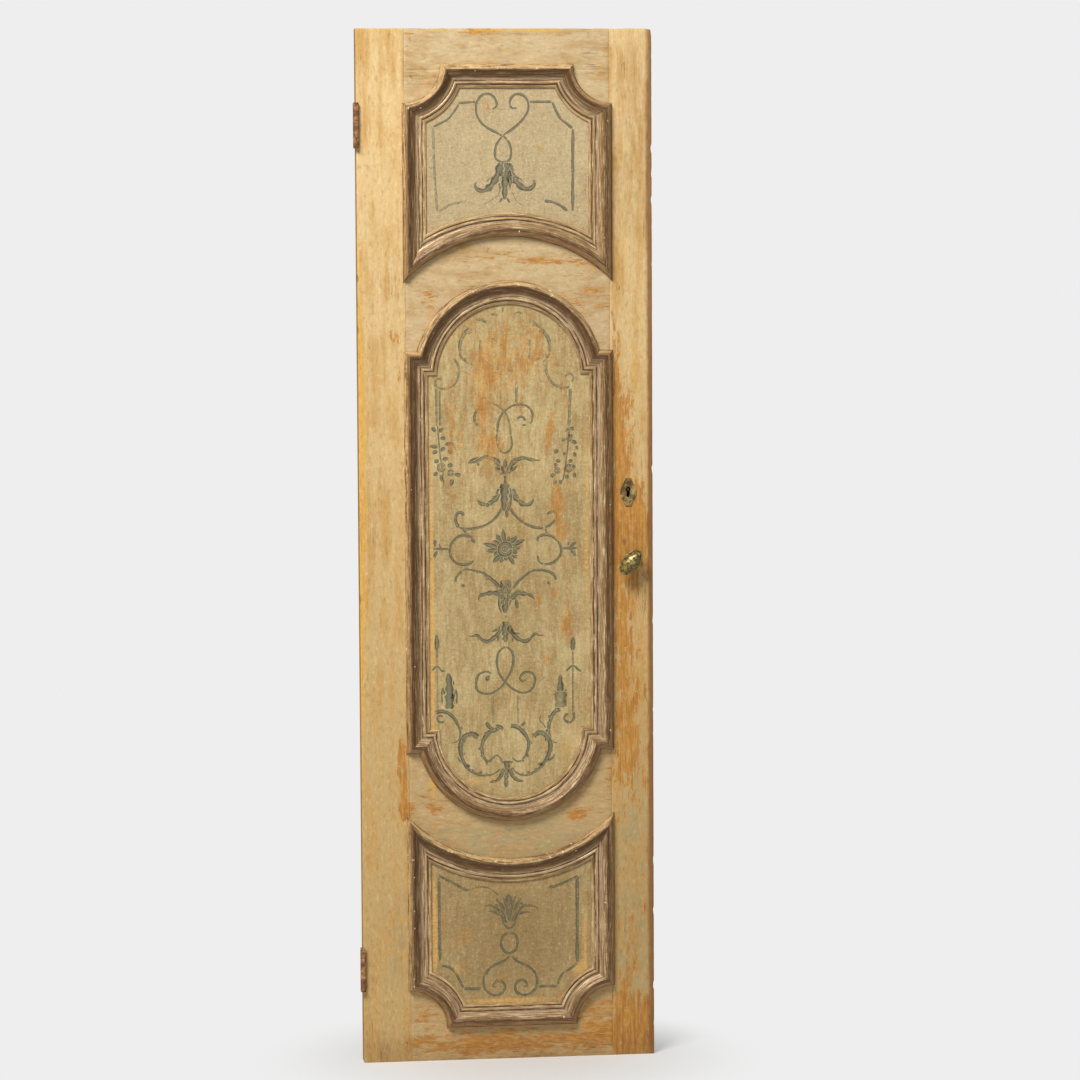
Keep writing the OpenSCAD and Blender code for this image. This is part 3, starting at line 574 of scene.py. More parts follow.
@dataclass(frozen=True)
class SilverGilt:
    """Dulled silver leaf under brown varnish on the mouldings, worn at the crest."""

    name: str = "gilt_moulding"
    # Colours across the section, from the outer foot to the inner foot. The dark band on the crest
    # (0.22 to 0.31) is partly brown tarnish and partly a painted dark reflection; the dark bands in
    # the two grooves (0.69 and 0.85) are partly brown varnish gathered there and partly painted
    # shade.
    zones: tuple[tuple[float, Colour], ...] = (
        (0.0, (132, 98, 58)), (0.07, (156, 120, 75)), (0.16, (146, 112, 71)),
        (0.22, (106, 76, 43)), (0.31, (90, 62, 34)), (0.40, (142, 109, 68)),
        (0.50, (172, 140, 98)), (0.57, (160, 130, 94)), (0.635, (178, 148, 110)),
        (0.69, (84, 56, 30)), (0.735, (184, 154, 112)), (0.81, (172, 140, 98)),
        (0.85, (88, 58, 30)), (0.90, (176, 142, 96)), (1.0, (182, 150, 104)),
    )
    silver: Colour = (222, 198, 156)
    # Brown of the varnish, tarnish and wear, and also of the painted shade on slopes and fillets
    # turned from the light.
    brown: Colour = (78, 50, 26)
    # A pale buff painted as a highlight on outer slopes that face the light.
    lit_side: Colour = (204, 172, 122)
    lilac: Colour = (168, 140, 114)
    gesso: Colour = (236, 218, 184)

    def material(self) -> bpy.types.Material:
        """Builds the finish.

        Returns:
            The material, which reads the points' across, along, chip and high values, and how far
            each piece faces the light.
        """
        g = Graph(self.name)
        across = g.attribute("across")
        run = g.add("ShaderNodeCombineXYZ")
        g.feed(run.inputs[0], g.math("MULTIPLY", g.attribute("along"), 0.05))
        g.feed(run.inputs[1], g.math("MULTIPLY", across, 0.048))
        g.feed(run.inputs[2], g.attribute("piece"))
        lines = g.noise(0.0018, 4, 0.65, run.outputs[0])
        wide = g.noise(0.006, 3, 0.6, run.outputs[0])
        dabs = g.noise(0.010, 5, 0.7)
        speckle = g.noise(0.0045, 4, 0.7)
        place = g.total((across, 1), (g.math("SUBTRACT", wide, 0.5), 0.09))
        colour = g.ramp(place, *self.zones)
        rubbed = g.step(g.total((lines, 1.2), (wide, 0.5), (dabs, 0.3)), 1.02, 1.16)
        inner = g.total((g.step(place, 0.33, 0.42), 0.55), (0.22, 1))
        colour = g.mix(g.math("MULTIPLY", rubbed, inner), colour, paint(*self.silver))
        worn = g.step(g.total((lines, 1.2), (wide, 0.5), (dabs, 0.3)), 0.98, 0.80)
        colour = g.mix(g.math("MULTIPLY", worn, 0.5), colour, paint(*self.brown))
        # Painted shade: brown on the inner slope of the roll, on the pieces whose outer slope faces
        # the light, where that inner slope turns away from it.
        painted_slope_shade = g.math("MULTIPLY", g.step(place, 0.20, 0.27), g.step(place, 0.60, 0.48))
        painted_slope_shade = g.math("MULTIPLY", painted_slope_shade, g.attribute("lit_side"))
        colour = g.mix(g.math("MULTIPLY", painted_slope_shade, 0.5), colour, paint(*self.brown))
        cove = g.math("MULTIPLY", g.step(place, 0.50, 0.56), g.step(place, 0.69, 0.66))
        colour = g.mix(g.math("MULTIPLY", cove, g.math("MULTIPLY", g.step(wide, 0.45, 0.6),
                                                       0.7)), colour, paint(*self.lilac))
        high = g.step(g.attribute("high"), 0.45, 0.8)
        # Painted highlight: a pale buff on the outer slope of the pieces that face the light,
        # broken up by flaking.
        lit_outer_slope = g.math("MULTIPLY", g.attribute("lit_side"),
                       g.step(g.total((place, 1), (high, -0.11)), 0.15, 0.07))
        flaked = g.step(g.total((lines, 0.9), (wide, 0.4), (dabs, 0.4)), 0.74, 0.92)
        colour = g.mix(g.math("MULTIPLY", lit_outer_slope, g.total((flaked, 0.9), (0.05, 1))), colour,
                       paint(*self.lit_side))
        # Painted shade: brown on the inner slope and the inner fillet of the upper pieces, under
        # their crests, where light from above does not reach.
        slope = g.math("MULTIPLY", g.step(place, 0.29, 0.34), g.step(place, 0.62, 0.55))
        eaves = g.math("MULTIPLY", high, g.total((slope, 0.32),
                                                 (g.step(place, 0.83, 0.87), 0.42)))
        colour = g.mix(eaves, colour, paint(*self.brown))
        nicks = g.step(g.total((speckle, 0.7), (dabs, 0.9)), 0.93, 0.98)
        nicks = g.math("MULTIPLY", nicks, lit_outer_slope)
        # Dark brown in patches along the outer foot, where the moulding meets the frame: partly
        # grime in that crease, partly painted contact shade.
        foot = g.math("MULTIPLY", g.step(place, 0.05, 0.0), g.step(dabs, 0.42, 0.62))
        colour = g.mix(g.math("MULTIPLY", foot, 0.7), colour, paint(*self.brown))
        chip = g.step(g.total((g.attribute("chip"), 1), (speckle, 0.4)), 0.6, 0.95)
        chip = g.math("MAXIMUM", chip, nicks)
        colour = g.mix(chip, colour, paint(*self.gesso))
        pits = g.step(g.noise(0.004, 3, 0.7), 0.62, 0.7)
        colour = g.mix(g.math("MULTIPLY", pits, 0.5), colour, paint(*self.brown))
        lit = g.total((speckle, 0.5), (lines, 0.9), (0.32, 1))
        colour = g.mix(1.0, colour, lit, "MULTIPLY")
        normal = g.relief((lines, 0.5 * MM), (wide, 0.7 * MM), (speckle, 0.3 * MM),
                          (pits, -0.3 * MM))
        dull = g.math("MAXIMUM", chip, lit_outer_slope)
        metal = g.total((dull, -0.14), (0.14, 1))
        return g.surface(colour, g.total((lines, 0.2), (dull, 0.25), (0.24, 1)), normal, metal,
                         0.28, coat=0.08)


@dataclass(frozen=True)
class OldMetal:
    """Rusted iron or tarnished brass, rubbed on its high places."""

    name: str
    light: Colour
    mid: Colour
    dark: Colour
    metal: float
    rough: float
    lump: float = 0.006
    pit: float = 0.25

    def material(self) -> bpy.types.Material:
        """Builds the finish.

        Returns:
            The material, patterned on object coordinates.
        """
        g = Graph(self.name)
        patches = g.noise(self.lump, 5, 0.65, bend=0.5)
        grains = g.noise(0.0009, 3, 0.6)
        pits = g.noise(0.0022, 4, 0.7)
        colour = g.mix(g.step(patches, 0.38, 0.62), paint(*self.dark), paint(*self.mid))
        rubbed = g.step(g.total((patches, 0.7), (grains, 0.5)), 0.62, 0.78)
        colour = g.mix(rubbed, colour, paint(*self.light))
        colour = g.mix(g.math("MULTIPLY", g.step(pits, 0.4, 0.28), 0.8), colour,
                       paint(*self.dark))
        metal = g.math("MULTIPLY", g.total((rubbed, 0.4), (0.6, 1)), self.metal)
        normal = g.relief((pits, self.pit * MM), (grains, 0.06 * MM))
        rough = g.total((patches, 0.3), (self.rough - 0.15, 1))
        return g.surface(colour, rough, normal, metal)


@dataclass(frozen=True)
class BareWood:
    """Old bare wood of pegs and their like."""

    name: str = "bare_wood"

    def material(self) -> bpy.types.Material:
        """Builds the finish."""
        g = Graph(self.name)
        rings = g.noise(0.0012, 4, 0.6, g.stretched(1, 0.1, 1))
        clouds = g.noise(0.02, 3, 0.5)
        colour = g.mix(g.step(rings, 0.35, 0.65), paint(140, 106, 70), paint(92, 64, 38))
        colour = g.mix(g.step(clouds, 0.5, 0.8), colour, paint(70, 50, 32))
        return g.surface(colour, g.total((rings, 0.2), (0.6, 1)), g.relief((rings, 0.2 * MM)))


# ---------------------------------------------------------------- mesh tools


def arc(cx: float, cz: float, radius: float, first: float, last: float,
        count: int) -> list[Point]:
    """Points along an arc.

    Args:
        cx: Centre across the door.
        cz: Centre's height.
        radius: Radius.
        first: First angle in degrees, from the x axis towards +z.
        last: Last angle in degrees.
        count: Number of steps.

    Returns:
        count + 1 points.
    """
    turn = [math.radians(first + (last - first) * i / count) for i in range(count + 1)]
    return [(cx + radius * math.cos(a), cz + radius * math.sin(a)) for a in turn]


def smooth_line(points: Sequence[Point], step: float) -> list[Point]:
    """A smooth curve through points, at about even steps.

    Args:
        points: Points that the curve passes through.
        step: Length of a step.

    Returns:
        The curve's points.
    """
    if len(points) == 2:
        (x0, z0), (x1, z1) = points
        count = max(2, round(math.hypot(x1 - x0, z1 - z0) / step))
        return [(x0 + (x1 - x0) * i / count, z0 + (z1 - z0) * i / count)
                for i in range(count + 1)]
    ends = [points[0], *points, points[-1]]
    line: list[Point] = []
    for a, b, c, d in zip(ends, ends[1:], ends[2:], ends[3:]):
        count = max(2, round(math.hypot(c[0] - b[0], c[1] - b[1]) / step))
        for i in range(count):
            t = i / count
            line.append(tuple(
                0.5 * (2 * q + (r - p) * t + (2 * p - 5 * q + 4 * r - s) * t * t
                       + (3 * q - p - 3 * r + s) * t**3)
                for p, q, r, s in zip(a, b, c, d)))
    line.append(points[-1])
    return line


def cut(bm: bmesh.types.BMesh, place: Vector, normal: Vector, drop: bool = False) -> None:
    """Cuts all of a mesh on a plane.

    Args:
        bm: The mesh.
        place: A point on the plane.
        normal: The plane's normal.
        drop: Whether the side that the normal points to is thrown away.
    """
    bmesh.ops.bisect_plane(bm, geom=bm.verts[:] + bm.edges[:] + bm.faces[:], plane_co=place,
                           plane_no=normal, dist=1e-7, clear_outer=drop)


def soften(bm: bmesh.types.BMesh, width: float, segments: int = 2,
           angle: float = 35.0) -> None:
    """Rounds every edge that is sharper than an angle.

    Args:
        bm: The mesh.
        width: Width of the rounding in metres.
        segments: Number of its facets.
        angle: Least angle between an edge's faces, in degrees.
    """
    sharp = [e for e in bm.edges
             if len(e.link_faces) == 2 and e.calc_face_angle(0.0) > math.radians(angle)]
    bmesh.ops.bevel(bm, geom=sharp, offset=width, offset_type="OFFSET", segments=segments,
                    profile=0.5, affect="EDGES", clamp_overlap=True, material=-1)


def pull(bm: bmesh.types.BMesh, faces: Sequence[bmesh.types.BMFace],
         way: tuple[float, float, float]) -> None:
    """Extrudes faces as one and moves what has grown.

    Args:
        bm: The mesh.
        faces: The faces.
        way: How far, in metres.
    """
    grown = bmesh.ops.extrude_face_region(bm, geom=faces)["geom"]
    bmesh.ops.translate(bm, vec=way, verts=[v for v in grown if isinstance(v, bmesh.types.BMVert)])


def hang(name: str, data: bpy.types.ID) -> bpy.types.Object:
    """Puts a new object with its data into the scene.

    Args:
        name: Its name.
        data: Its mesh, light or camera.

    Returns:
        The object.
    """
    thing = bpy.data.objects.new(name, data)
    bpy.context.scene.collection.objects.link(thing)
    return thing


def finish_piece(name: str, bm: bmesh.types.BMesh, body: str, slot: str,
                 materials: Iterable[bpy.types.Material], stands_for: Sequence[str] = (),
                 angle: float = 32.0) -> bpy.types.Object:
    """Makes a piece of a mesh and ties it to its body.

    Args:
        name: The piece's name.
        bm: Its mesh, in the shared frame.
        body: The body that it rides on.
        slot: The record's material slot; not used.
        materials: Its materials.
        stands_for: Construction nodes that it replaces.
        angle: Edges sharper than this stay sharp, in degrees.

    Returns:
        The new object.
    """
    mesh = bpy.data.meshes.new(name)
    bm.to_mesh(mesh)
    bm.free()
    mesh.polygons.foreach_set("use_smooth", [True] * len(mesh.polygons))
    mesh.set_sharp_from_angle(angle=math.radians(angle))
    for material in materials:
        mesh.materials.append(material)
    piece = hang(name, mesh)
    if stands_for:
        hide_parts(*stands_for)
    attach(piece, body)
    log.info("%s: %d faces", name, len(mesh.polygons))
    return piece


def paint_points(piece: bpy.types.Object, names: Sequence[str],
                 value: Callable[[Vector], Sequence[float]]) -> None:
    """Writes values on a piece's points.

    Args:
        piece: The piece.
        names: Names of the values.
        value: Gives them all for a point in the shared frame.
    """
    rows = [value(v.co) for v in piece.data.vertices]
    for i, name in enumerate(names):
        layer = piece.data.attributes.new(name, "FLOAT", "POINT")
        layer.data.foreach_set("value", [row[i] for row in rows])


# ---------------------------------------------------------------- wear on the paint


@dataclass(frozen=True)
class Patch:
    """A soft oval patch on the front: centre, half sizes in millimetres, and amount."""

    x: float
    z: float
    rx: float
    rz: float
    amount: float

    def at(self, x: float, z: float) -> float:
        """The patch's amount at a point."""
        reach = ((x - self.x) / self.rx) ** 2 + ((z - self.z) / self.rz) ** 2
        return self.amount * math.exp(-reach) if reach < 9 else 0.0


@dataclass(frozen=True)
class Wear:
    """How worn, golden and grey the front is from place to place, and where grime and painted shade
    darken it.
    """

    plan: DoorPlan
    worn: tuple[Patch, ...] = (
        Patch(250, 2092, 80, 12, 0.45), Patch(108, 2078, 22, 24, 0.35),
        Patch(300, 1650, 230, 50, 0.24), Patch(380, 1632, 55, 8, 0.3),
        Patch(150, 1560, 60, 60, 0.26), Patch(460, 1560, 60, 60, 0.28),
        Patch(470, 560, 60, 90, 0.26), Patch(135, 560, 50, 70, 0.24),
        Patch(552, 1230, 55, 300, 0.27), Patch(530, 900, 26, 330, 0.32),
        Patch(524, 1420, 12, 160, 0.26), Patch(550, 1075, 46, 60, 0.55),
        Patch(575, 900, 30, 260, 0.18), Patch(556, 620, 40, 190, 0.28),
        Patch(560, 200, 45, 210, 0.30), Patch(84, 640, 12, 40, 0.45),
        Patch(84, 560, 10, 60, 0.35), Patch(95, 515, 16, 20, 0.45),
        Patch(152, 520, 22, 14, 0.35), Patch(230, 445, 90, 14, 0.18),
        Patch(440, 500, 30, 12, 0.4), Patch(340, 425, 90, 8, 0.35),
        Patch(75, 1480, 20, 25, 0.3), Patch(84, 1400, 8, 60, 0.3),
        Patch(300, 34, 290, 36, 0.47), Patch(128, 95, 50, 44, 0.30),
        Patch(478, 100, 52, 52, 0.34), Patch(565, 50, 50, 70, 0.34),
        Patch(300, 1485, 80, 60, 0.26), Patch(330, 1420, 110, 60, 0.20),
        Patch(252, 1385, 26, 60, 0.34), Patch(252, 1325, 9, 36, 0.5),
        Patch(262, 1258, 24, 30, 0.36), Patch(206, 1262, 8, 28, 0.42),
        Patch(389, 1290, 7, 36, 0.62), Patch(404, 1140, 12, 44, 0.62),
        Patch(412, 1078, 13, 18, 0.6), Patch(292, 986, 5, 11, 0.65),
        Patch(365, 945, 7, 18, 0.45), Patch(398, 958, 9, 10, 0.5),
        Patch(424, 920, 12, 62, 0.42), Patch(414, 890, 8, 30, 0.4),
        Patch(379, 822, 7, 20, 0.6), Patch(188, 1158, 9, 10, 0.4),
        Patch(186, 1300, 9, 70, 0.25), Patch(300, 1250, 160, 220, 0.17),
        Patch(262, 1944, 6, 14, 0.55), Patch(334, 1846, 6, 12, 0.45),
        Patch(372, 1858, 6, 7, 0.62), Patch(462, 1772, 4, 30, 0.45),
        Patch(285, 1975, 22, 5, 0.3), Patch(195, 250, 22, 36, 0.3),
        Patch(166, 290, 10, 40, 0.28), Patch(280, 165, 22, 18, 0.3),
        Patch(300, 127, 150, 4, 0.35), Patch(168, 600, 12, 40, 0.3),
    )
    golden: tuple[Patch, ...] = (
        Patch(300, 2098, 320, 9, 0.5), Patch(0, 1080, 12, 500, 0.9),
        Patch(20, 1500, 30, 600, 0.2), Patch(556, 1780, 60, 330, 0.30),
        Patch(560, 1350, 60, 200, 0.25), Patch(180, 1480, 40, 60, 0.3),
        Patch(145, 900, 7, 520, 0.7), Patch(462, 1050, 8, 420, 0.45),
        Patch(430, 640, 40, 90, 0.35), Patch(240, 575, 110, 14, 0.4),
        Patch(190, 190, 16, 30, 0.4), Patch(440, 180, 18, 18, 0.5),
        Patch(300, 425, 160, 12, 0.3), Patch(330, 1640, 180, 60, 0.15),
        Patch(140, 1700, 10, 200, 0.25), Patch(45, 200, 40, 240, 0.2),
        Patch(147, 250, 7, 110, 0.65), Patch(456, 250, 8, 130, 0.5),
        Patch(300, 118, 140, 8, 0.7), Patch(300, 352, 130, 9, 0.35),
    )
    grey: tuple[Patch, ...] = (
        Patch(556, 330, 60, 330, 0.34), Patch(300, 40, 320, 40, 0.16),
        Patch(575, 640, 22, 220, 0.3), Patch(588, 1090, 8, 26, 0.5),
        Patch(300, 2070, 260, 26, 0.22), Patch(300, 1560, 260, 110, 0.2),
        Patch(300, 470, 260, 70, 0.3), Patch(300, 260, 240, 200, 0.9),
        Patch(84, 1980, 12, 120, 0.3), Patch(76, 1800, 14, 220, 0.2),
        Patch(60, 240, 40, 240, 0.12), Patch(300, 1000, 300, 160, 0.25),
    )
    # Grime and painted shade: the strip along the lock edge (598, 1050), the strips right of the
    # lock-side moulding (516 and 524, 1150), the spot right of the knob (575, 1014) and the band
    # under the centre frame's upper arch (300, 1540) are painted shade and shadow; the rest are
    # grime, holes and marks.
    dirt_and_shade: tuple[Patch, ...] = (
        Patch(388, 1048, 3.5, 9, 0.9), Patch(113, 2004, 4, 4, 0.9),
        Patch(598, 1050, 8, 1500, 1.1), Patch(503, 1467, 2, 9, 1.0),
        Patch(541, 1060, 4, 5, 0.8), Patch(551, 1079, 2, 2, 0.3),
        Patch(335, 263, 4, 2, 0.7), Patch(290, 1645, 2, 14, 0.25),
        Patch(97, 1200, 5, 500, 0.16), Patch(516, 1150, 5, 420, 0.22),
        Patch(575, 1014, 8, 8, 0.7), Patch(36, 360, 3, 26, 0.3),
        Patch(524, 1150, 7, 480, 0.3), Patch(300, 1540, 200, 6, 0.2),
        Patch(562, 1850, 60, 330, 0.36), Patch(566, 260, 60, 330, 0.3),
        Patch(300, -20, 400, 100, 0.25), Patch(40, 20, 60, 90, 0.2), Patch(562, 1080, 30, 50, 0.3),
        Patch(300, 20, 330, 40, 0.25),
    )

    def at(self, place: Vector) -> tuple[float, float, float, float]:
        """The four values at a point of the shared frame.

        Args:
            place: The point, in metres.

        Returns:
            How worn, golden and grey it is, and how much grime and painted shade darken it.
        """
        spot = (place - self.plan.origin) / MM
        wander = noise.noise(Vector((spot.x / 40, spot.z / 90, 3.1)))
        sums = [sum(patch.at(spot.x, spot.z) for patch in kind)
                for kind in (self.worn, self.golden, self.grey, self.dirt_and_shade)]
        return sums[0] + 0.08 * wander, sums[1], sums[2] - 0.08 * wander, sums[3]


WEAR_NAMES = ("worn", "golden", "grey", "dirt_and_shade")


# ---------------------------------------------------------------- stiles, rails and panels


def surface_ripple(x: float, z: float) -> float:
    """How far the front's surface lies back at a point, all in millimetres."""
    return 0.12 * noise.noise(Vector((x / 34, z / 150, 7.7)))


@dataclass(frozen=True)
class Board:
    """One flat piece of the leaf: its node, outline on the door, depth and finish."""

    node: str
    outline: list[Point]
    finish: str
    slot: str
    depth: float
    arris: float = 0.9
    cell: float = 7.0


@dataclass
class Leaf:
    """The stiles, rails, corner blocks and panels."""

    plan: DoorPlan
    wear: Wear
    chip_depth: float = 2.4
    side_ripple: float = 0.35

    def materials(self) -> dict[str, bpy.types.Material]:
        """Makes the finishes of the boards.

        Returns:
            The materials by name.
        """
        return {
            "upright": FramePaint("painted_frame_upright", Grain.UPRIGHT).material(self.plan),
            "level": FramePaint("painted_frame_level", Grain.LEVEL, head=(207, 184, 142),
                                foot=(197, 168, 118), streak=(188, 154, 104), draw=5.0, smear=3.6,
                                specked=0.5).material(self.plan),
            "panel": PanelPaint("painted_panel").material(self.plan, False),
        }

    def corner(self, count: int = 14) -> list[Point]:
        """The arc of the top frame's indented corner, a lap in, from the side to the head."""
        p = self.plan
        radius = p.corner_r + p.lap
        tip = math.degrees(math.asin(p.lap / radius))
        return arc(p.frame_lo, p.head_z, radius, -90 + tip, -tip, count)

    def bow(self, count: int = 44) -> list[Point]:
        """The bow of the top frame, a lap in, from the hinge side to the lock side."""
        p = self.plan
        radius = p.bow_r + p.lap
        half = math.degrees(math.asin((p.half_w - p.lap) / radius))
        return arc(p.axis, p.bow_z, radius, 90 + half, 90 - half, count)

    def arch(self, count: int = 44) -> list[Point]:
        """The upper end arc of the centre frame, a lap in, from the hinge side."""
        p = self.plan
        radius = p.arch_r - p.lap
        rise = math.degrees(math.asin((p.shoulder_rise - p.lap) / radius))
        return arc(p.axis, p.arch_hi, radius, 180 - rise, rise, count)

    def mirrored(self, points: Iterable[Point]) -> list[Point]:
        """Points mirrored to the lock side, in reverse order."""
        return [(2 * self.plan.axis - x, z) for x, z in points][::-1]

    def turned(self, points: Iterable[Point]) -> list[Point]:
        """Points of the top frame turned over to the bottom frame, in reverse order."""
        return [(x, self.plan.turned(z)) for x, z in points][::-1]

    def lowered(self, points: Iterable[Point]) -> list[Point]:
        """Points of the centre frame's upper end turned over to its lower end."""
        total = self.plan.shoulder_lo + self.plan.shoulder_hi
        return [(x, total - z) for x, z in points][::-1]

    def boards(self) -> list[Board]:
        """Lists every board with its outline.

        Returns:
            The boards.
        """
        p = self.plan
        lo, hi = p.stile_in, p.stile_out
        joint_hi = (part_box("top_rail")[0].z - p.origin.z) / MM
        joint_lo = (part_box("bottom_rail")[1].z - p.origin.z) / MM
        corner, bow, arch = self.corner(), self.bow(), self.arch()
        inner = [q for q in corner if q[1] <= joint_hi]
        radius = p.corner_r + p.lap
        reach = p.frame_lo + math.sqrt(radius**2 - (p.head_z - joint_hi) ** 2)
        low_reach = p.frame_lo + math.sqrt(radius**2 - (joint_lo - p.foot_z) ** 2)
        head = [(lo, joint_hi), (reach, joint_hi), corner[-1]]
        foot = [(lo, joint_lo), (low_reach, joint_lo), (corner[-1][0], p.turned(corner[-1][1]))]
        block = [(lo, joint_hi), *inner, (reach, joint_hi)]
        low_block = [(x, p.turned(z)) for x, z in corner if p.turned(z) >= joint_lo]
        low_block = [(low_reach, joint_lo), *low_block[::-1], (lo, joint_lo)]
        shoulder_lo, shoulder_hi = p.shoulder_lo + p.lap, p.shoulder_hi - p.lap
        top = [*corner, *self.mirrored(corner), *bow[::-1]]
        centre = [(lo, shoulder_lo), (lo, shoulder_hi), *arch, (hi, shoulder_hi),
                  (hi, shoulder_lo), *self.lowered(arch)]
        uprights = {"hinge_stile": self.stile(0, lo), "lock_stile": self.stile(hi, p.leaf_w)}
        levels = {
            "top_rail": [*head, *self.mirrored(head), (hi, p.leaf_h), (lo, p.leaf_h)],
            "bottom_rail": [*foot, *self.mirrored(foot), (hi, 0), (lo, 0)],
            "upper_middle_rail": [(lo, shoulder_hi), *arch, (hi, shoulder_hi), *bow[::-1]],
            "lower_middle_rail": [(lo, shoulder_lo), *self.lowered(arch)[::-1],
                                  (hi, shoulder_lo), *self.turned(bow)],
            "upper_hinge_side_corner_block": block,
            "upper_lock_side_corner_block": self.mirrored(block),
            "lower_hinge_side_corner_block": low_block,
            "lower_lock_side_corner_block": self.mirrored(low_block),
        }
        panels = {"top_panel": top, "centre_panel": centre, "bottom_panel": self.turned(top)}
        kinds = ((uprights, "upright", "painted_frame", p.leaf_t),
                 (levels, "level", "painted_frame", p.leaf_t),
                 (panels, "panel", "painted_panel", p.panel_t))
        return [Board(name, outline, *kind) for group, *kind in kinds
                for name, outline in group.items()]

    def stile(self, x0: float, x1: float) -> list[Point]:
        """Outline of a stile, let in where a hinge leaf lies on its edge.

        Args:
            x0: The side nearer the hinges.
            x1: The side nearer the lock.

        Returns:
            The outline.
        """
        p = self.plan
        edge: list[Point] = []
        if x0 == 0:
            for node in ("lower_door_leaf", "upper_door_leaf"):
                low, high = [(c.z - p.origin.z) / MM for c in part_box(node)]
                edge += [(0, low), (p.hinge_t, low), (p.hinge_t, high), (0, high)]
        return [(x0, 0), *edge, (x0, p.leaf_h), (x1, p.leaf_h), (x1, 0)]

    def slab(self, board: Board) -> bmesh.types.BMesh:
        """Makes a board's solid: outline, thickness, rounded arrises and a net of points.

        Args:
            board: The board.

        Returns:
            Its mesh, in the shared frame.
        """
        p = self.plan
        bm = bmesh.new()
        face = bm.faces.new([bm.verts.new(p.place(x, 0, z)) for x, z in board.outline])
        pull(bm, [face], (0, board.depth * MM, 0))
        bmesh.ops.recalc_face_normals(bm, faces=bm.faces)
        if board.node == "hinge_stile":
            self.fill_behind_hinges(bm)
        soften(bm, board.arris * MM)
        xs = [x for x, _ in board.outline]
        zs = [z for _, z in board.outline]
        for axis, low, high in ((2, min(zs), max(zs)), (0, min(xs), max(xs))):
            count = max(1, round((high - low) / board.cell))
            for i in range(1, count):
                at = low + (high - low) * i / count
                place = p.place(at, 0, 0) if axis == 0 else p.place(0, 0, at)
                cut(bm, place, Vector((1, 0, 0)) if axis == 0 else Vector((0, 0, 1)))
        return bm

    def fill_behind_hinges(self, bm: bmesh.types.BMesh) -> None:
        """Brings the wood out again behind the let-in hinge leaves.

        Args:
            bm: The hinge stile's mesh.
        """
        p = self.plan
        cut(bm, p.place(0, p.hinge_w, 0), Vector((0, 1, 0)))
        behind = p.place(0, p.hinge_w, 0).y
        inner = p.place(p.hinge_t, 0, 0).x
        faces = [f for f in bm.faces if f.normal.x < -0.9 and f.calc_center_median().y > behind
                 and abs(f.calc_center_median().x - inner) < 0.1 * MM]
        pull(bm, faces, (-p.hinge_t * MM, 0, 0))
        bmesh.ops.remove_doubles(bm, verts=bm.verts, dist=0.01 * MM)
        bmesh.ops.recalc_face_normals(bm, faces=bm.faces)

    def age(self, bm: bmesh.types.BMesh, board: Board) -> None:
        """Wears the leaf's outer edges: a slow ripple, small dents and a few chips.

        Args:
            bm: The board's mesh.
            board: The board.
        """
        p = self.plan
        for v in bm.verts:
            x, y, z = (v.co - p.origin) / MM
            inward = Vector((0, 0, 0))
            if board.slot == "painted_frame":
                for side, gap in ((Vector((1, 0, 0)), x), (Vector((-1, 0, 0)), p.leaf_w - x),
                                  (Vector((0, 0, -1)), p.leaf_h - z)):
                    if gap < 1.2 and y < p.leaf_t * 0.8:
                        dent = max(0.0, noise.noise(Vector((x / 30, z / 26, y / 40))) - 0.28)
                        inward += side * (self.chip_depth * 2.2 * dent
                                          + self.side_ripple * abs(noise.noise(v.co * 31)))
            corner = math.hypot(p.leaf_w - x, p.leaf_h - z)
            if corner < 16:
                inward += Vector((-1, 0.4, -1.2)) * (0.11 * (16 - corner))
            if y < 1.0:
                inward.y += surface_ripple(x, z)
            v.co += inward * MM

    def build(self) -> None:
        """Builds every board and paints its wear."""
        finishes = self.materials()
        for board in self.boards():
            bm = self.slab(board)
            self.age(bm, board)
            piece = finish_piece("leaf_" + board.node, bm, "door", board.slot,
                                 [finishes[board.finish]], [board.node])
            if board.node == "lock_stile":
                self.bore(piece)
            paint_points(piece, WEAR_NAMES, self.wear.at)

    def bore(self, piece: bpy.types.Object) -> None:
        """Cuts the keyhole and the spindle's hole through the lock stile.

        Args:
            piece: The lock stile.
        """
        p = self.plan
        low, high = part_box("knob_spindle")
        pin_low, pin_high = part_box("key_pin")
        key = (pin_low + pin_high) / 2
        bm = bmesh.new()
        for place, radius, tall in (((low + high) / 2, 4.1, 1.0), (key, 6.0, 1.0),
                                    (key - Vector((0, 0, 9 * MM)), 4.2, 2.0)):
            turn = Matrix.Rotation(math.radians(90), 4, "X")
            middle = Matrix.Translation((place.x, p.place(0, p.leaf_t / 2, 0).y, place.z))
            bmesh.ops.create_cone(bm, cap_ends=True, segments=32, radius1=radius * MM,
                                  radius2=radius * MM, depth=(p.leaf_t + 20) * MM,
                                  matrix=middle @ Matrix.Diagonal((1, 1, tall, 1)) @ turn)
        mesh = bpy.data.meshes.new("bores")
        bm.to_mesh(mesh)
        bm.free()
        tool = hang("bores", mesh)
        step = piece.modifiers.new("bores", "BOOLEAN")
        step.object, step.solver, step.use_self = tool, "EXACT", True
        ready = piece.evaluated_get(bpy.context.evaluated_depsgraph_get())
        piece.data = bpy.data.meshes.new_from_object(ready)
        piece.modifiers.clear()
        bpy.data.objects.remove(tool)


# ---------------------------------------------------------------- painted ornament


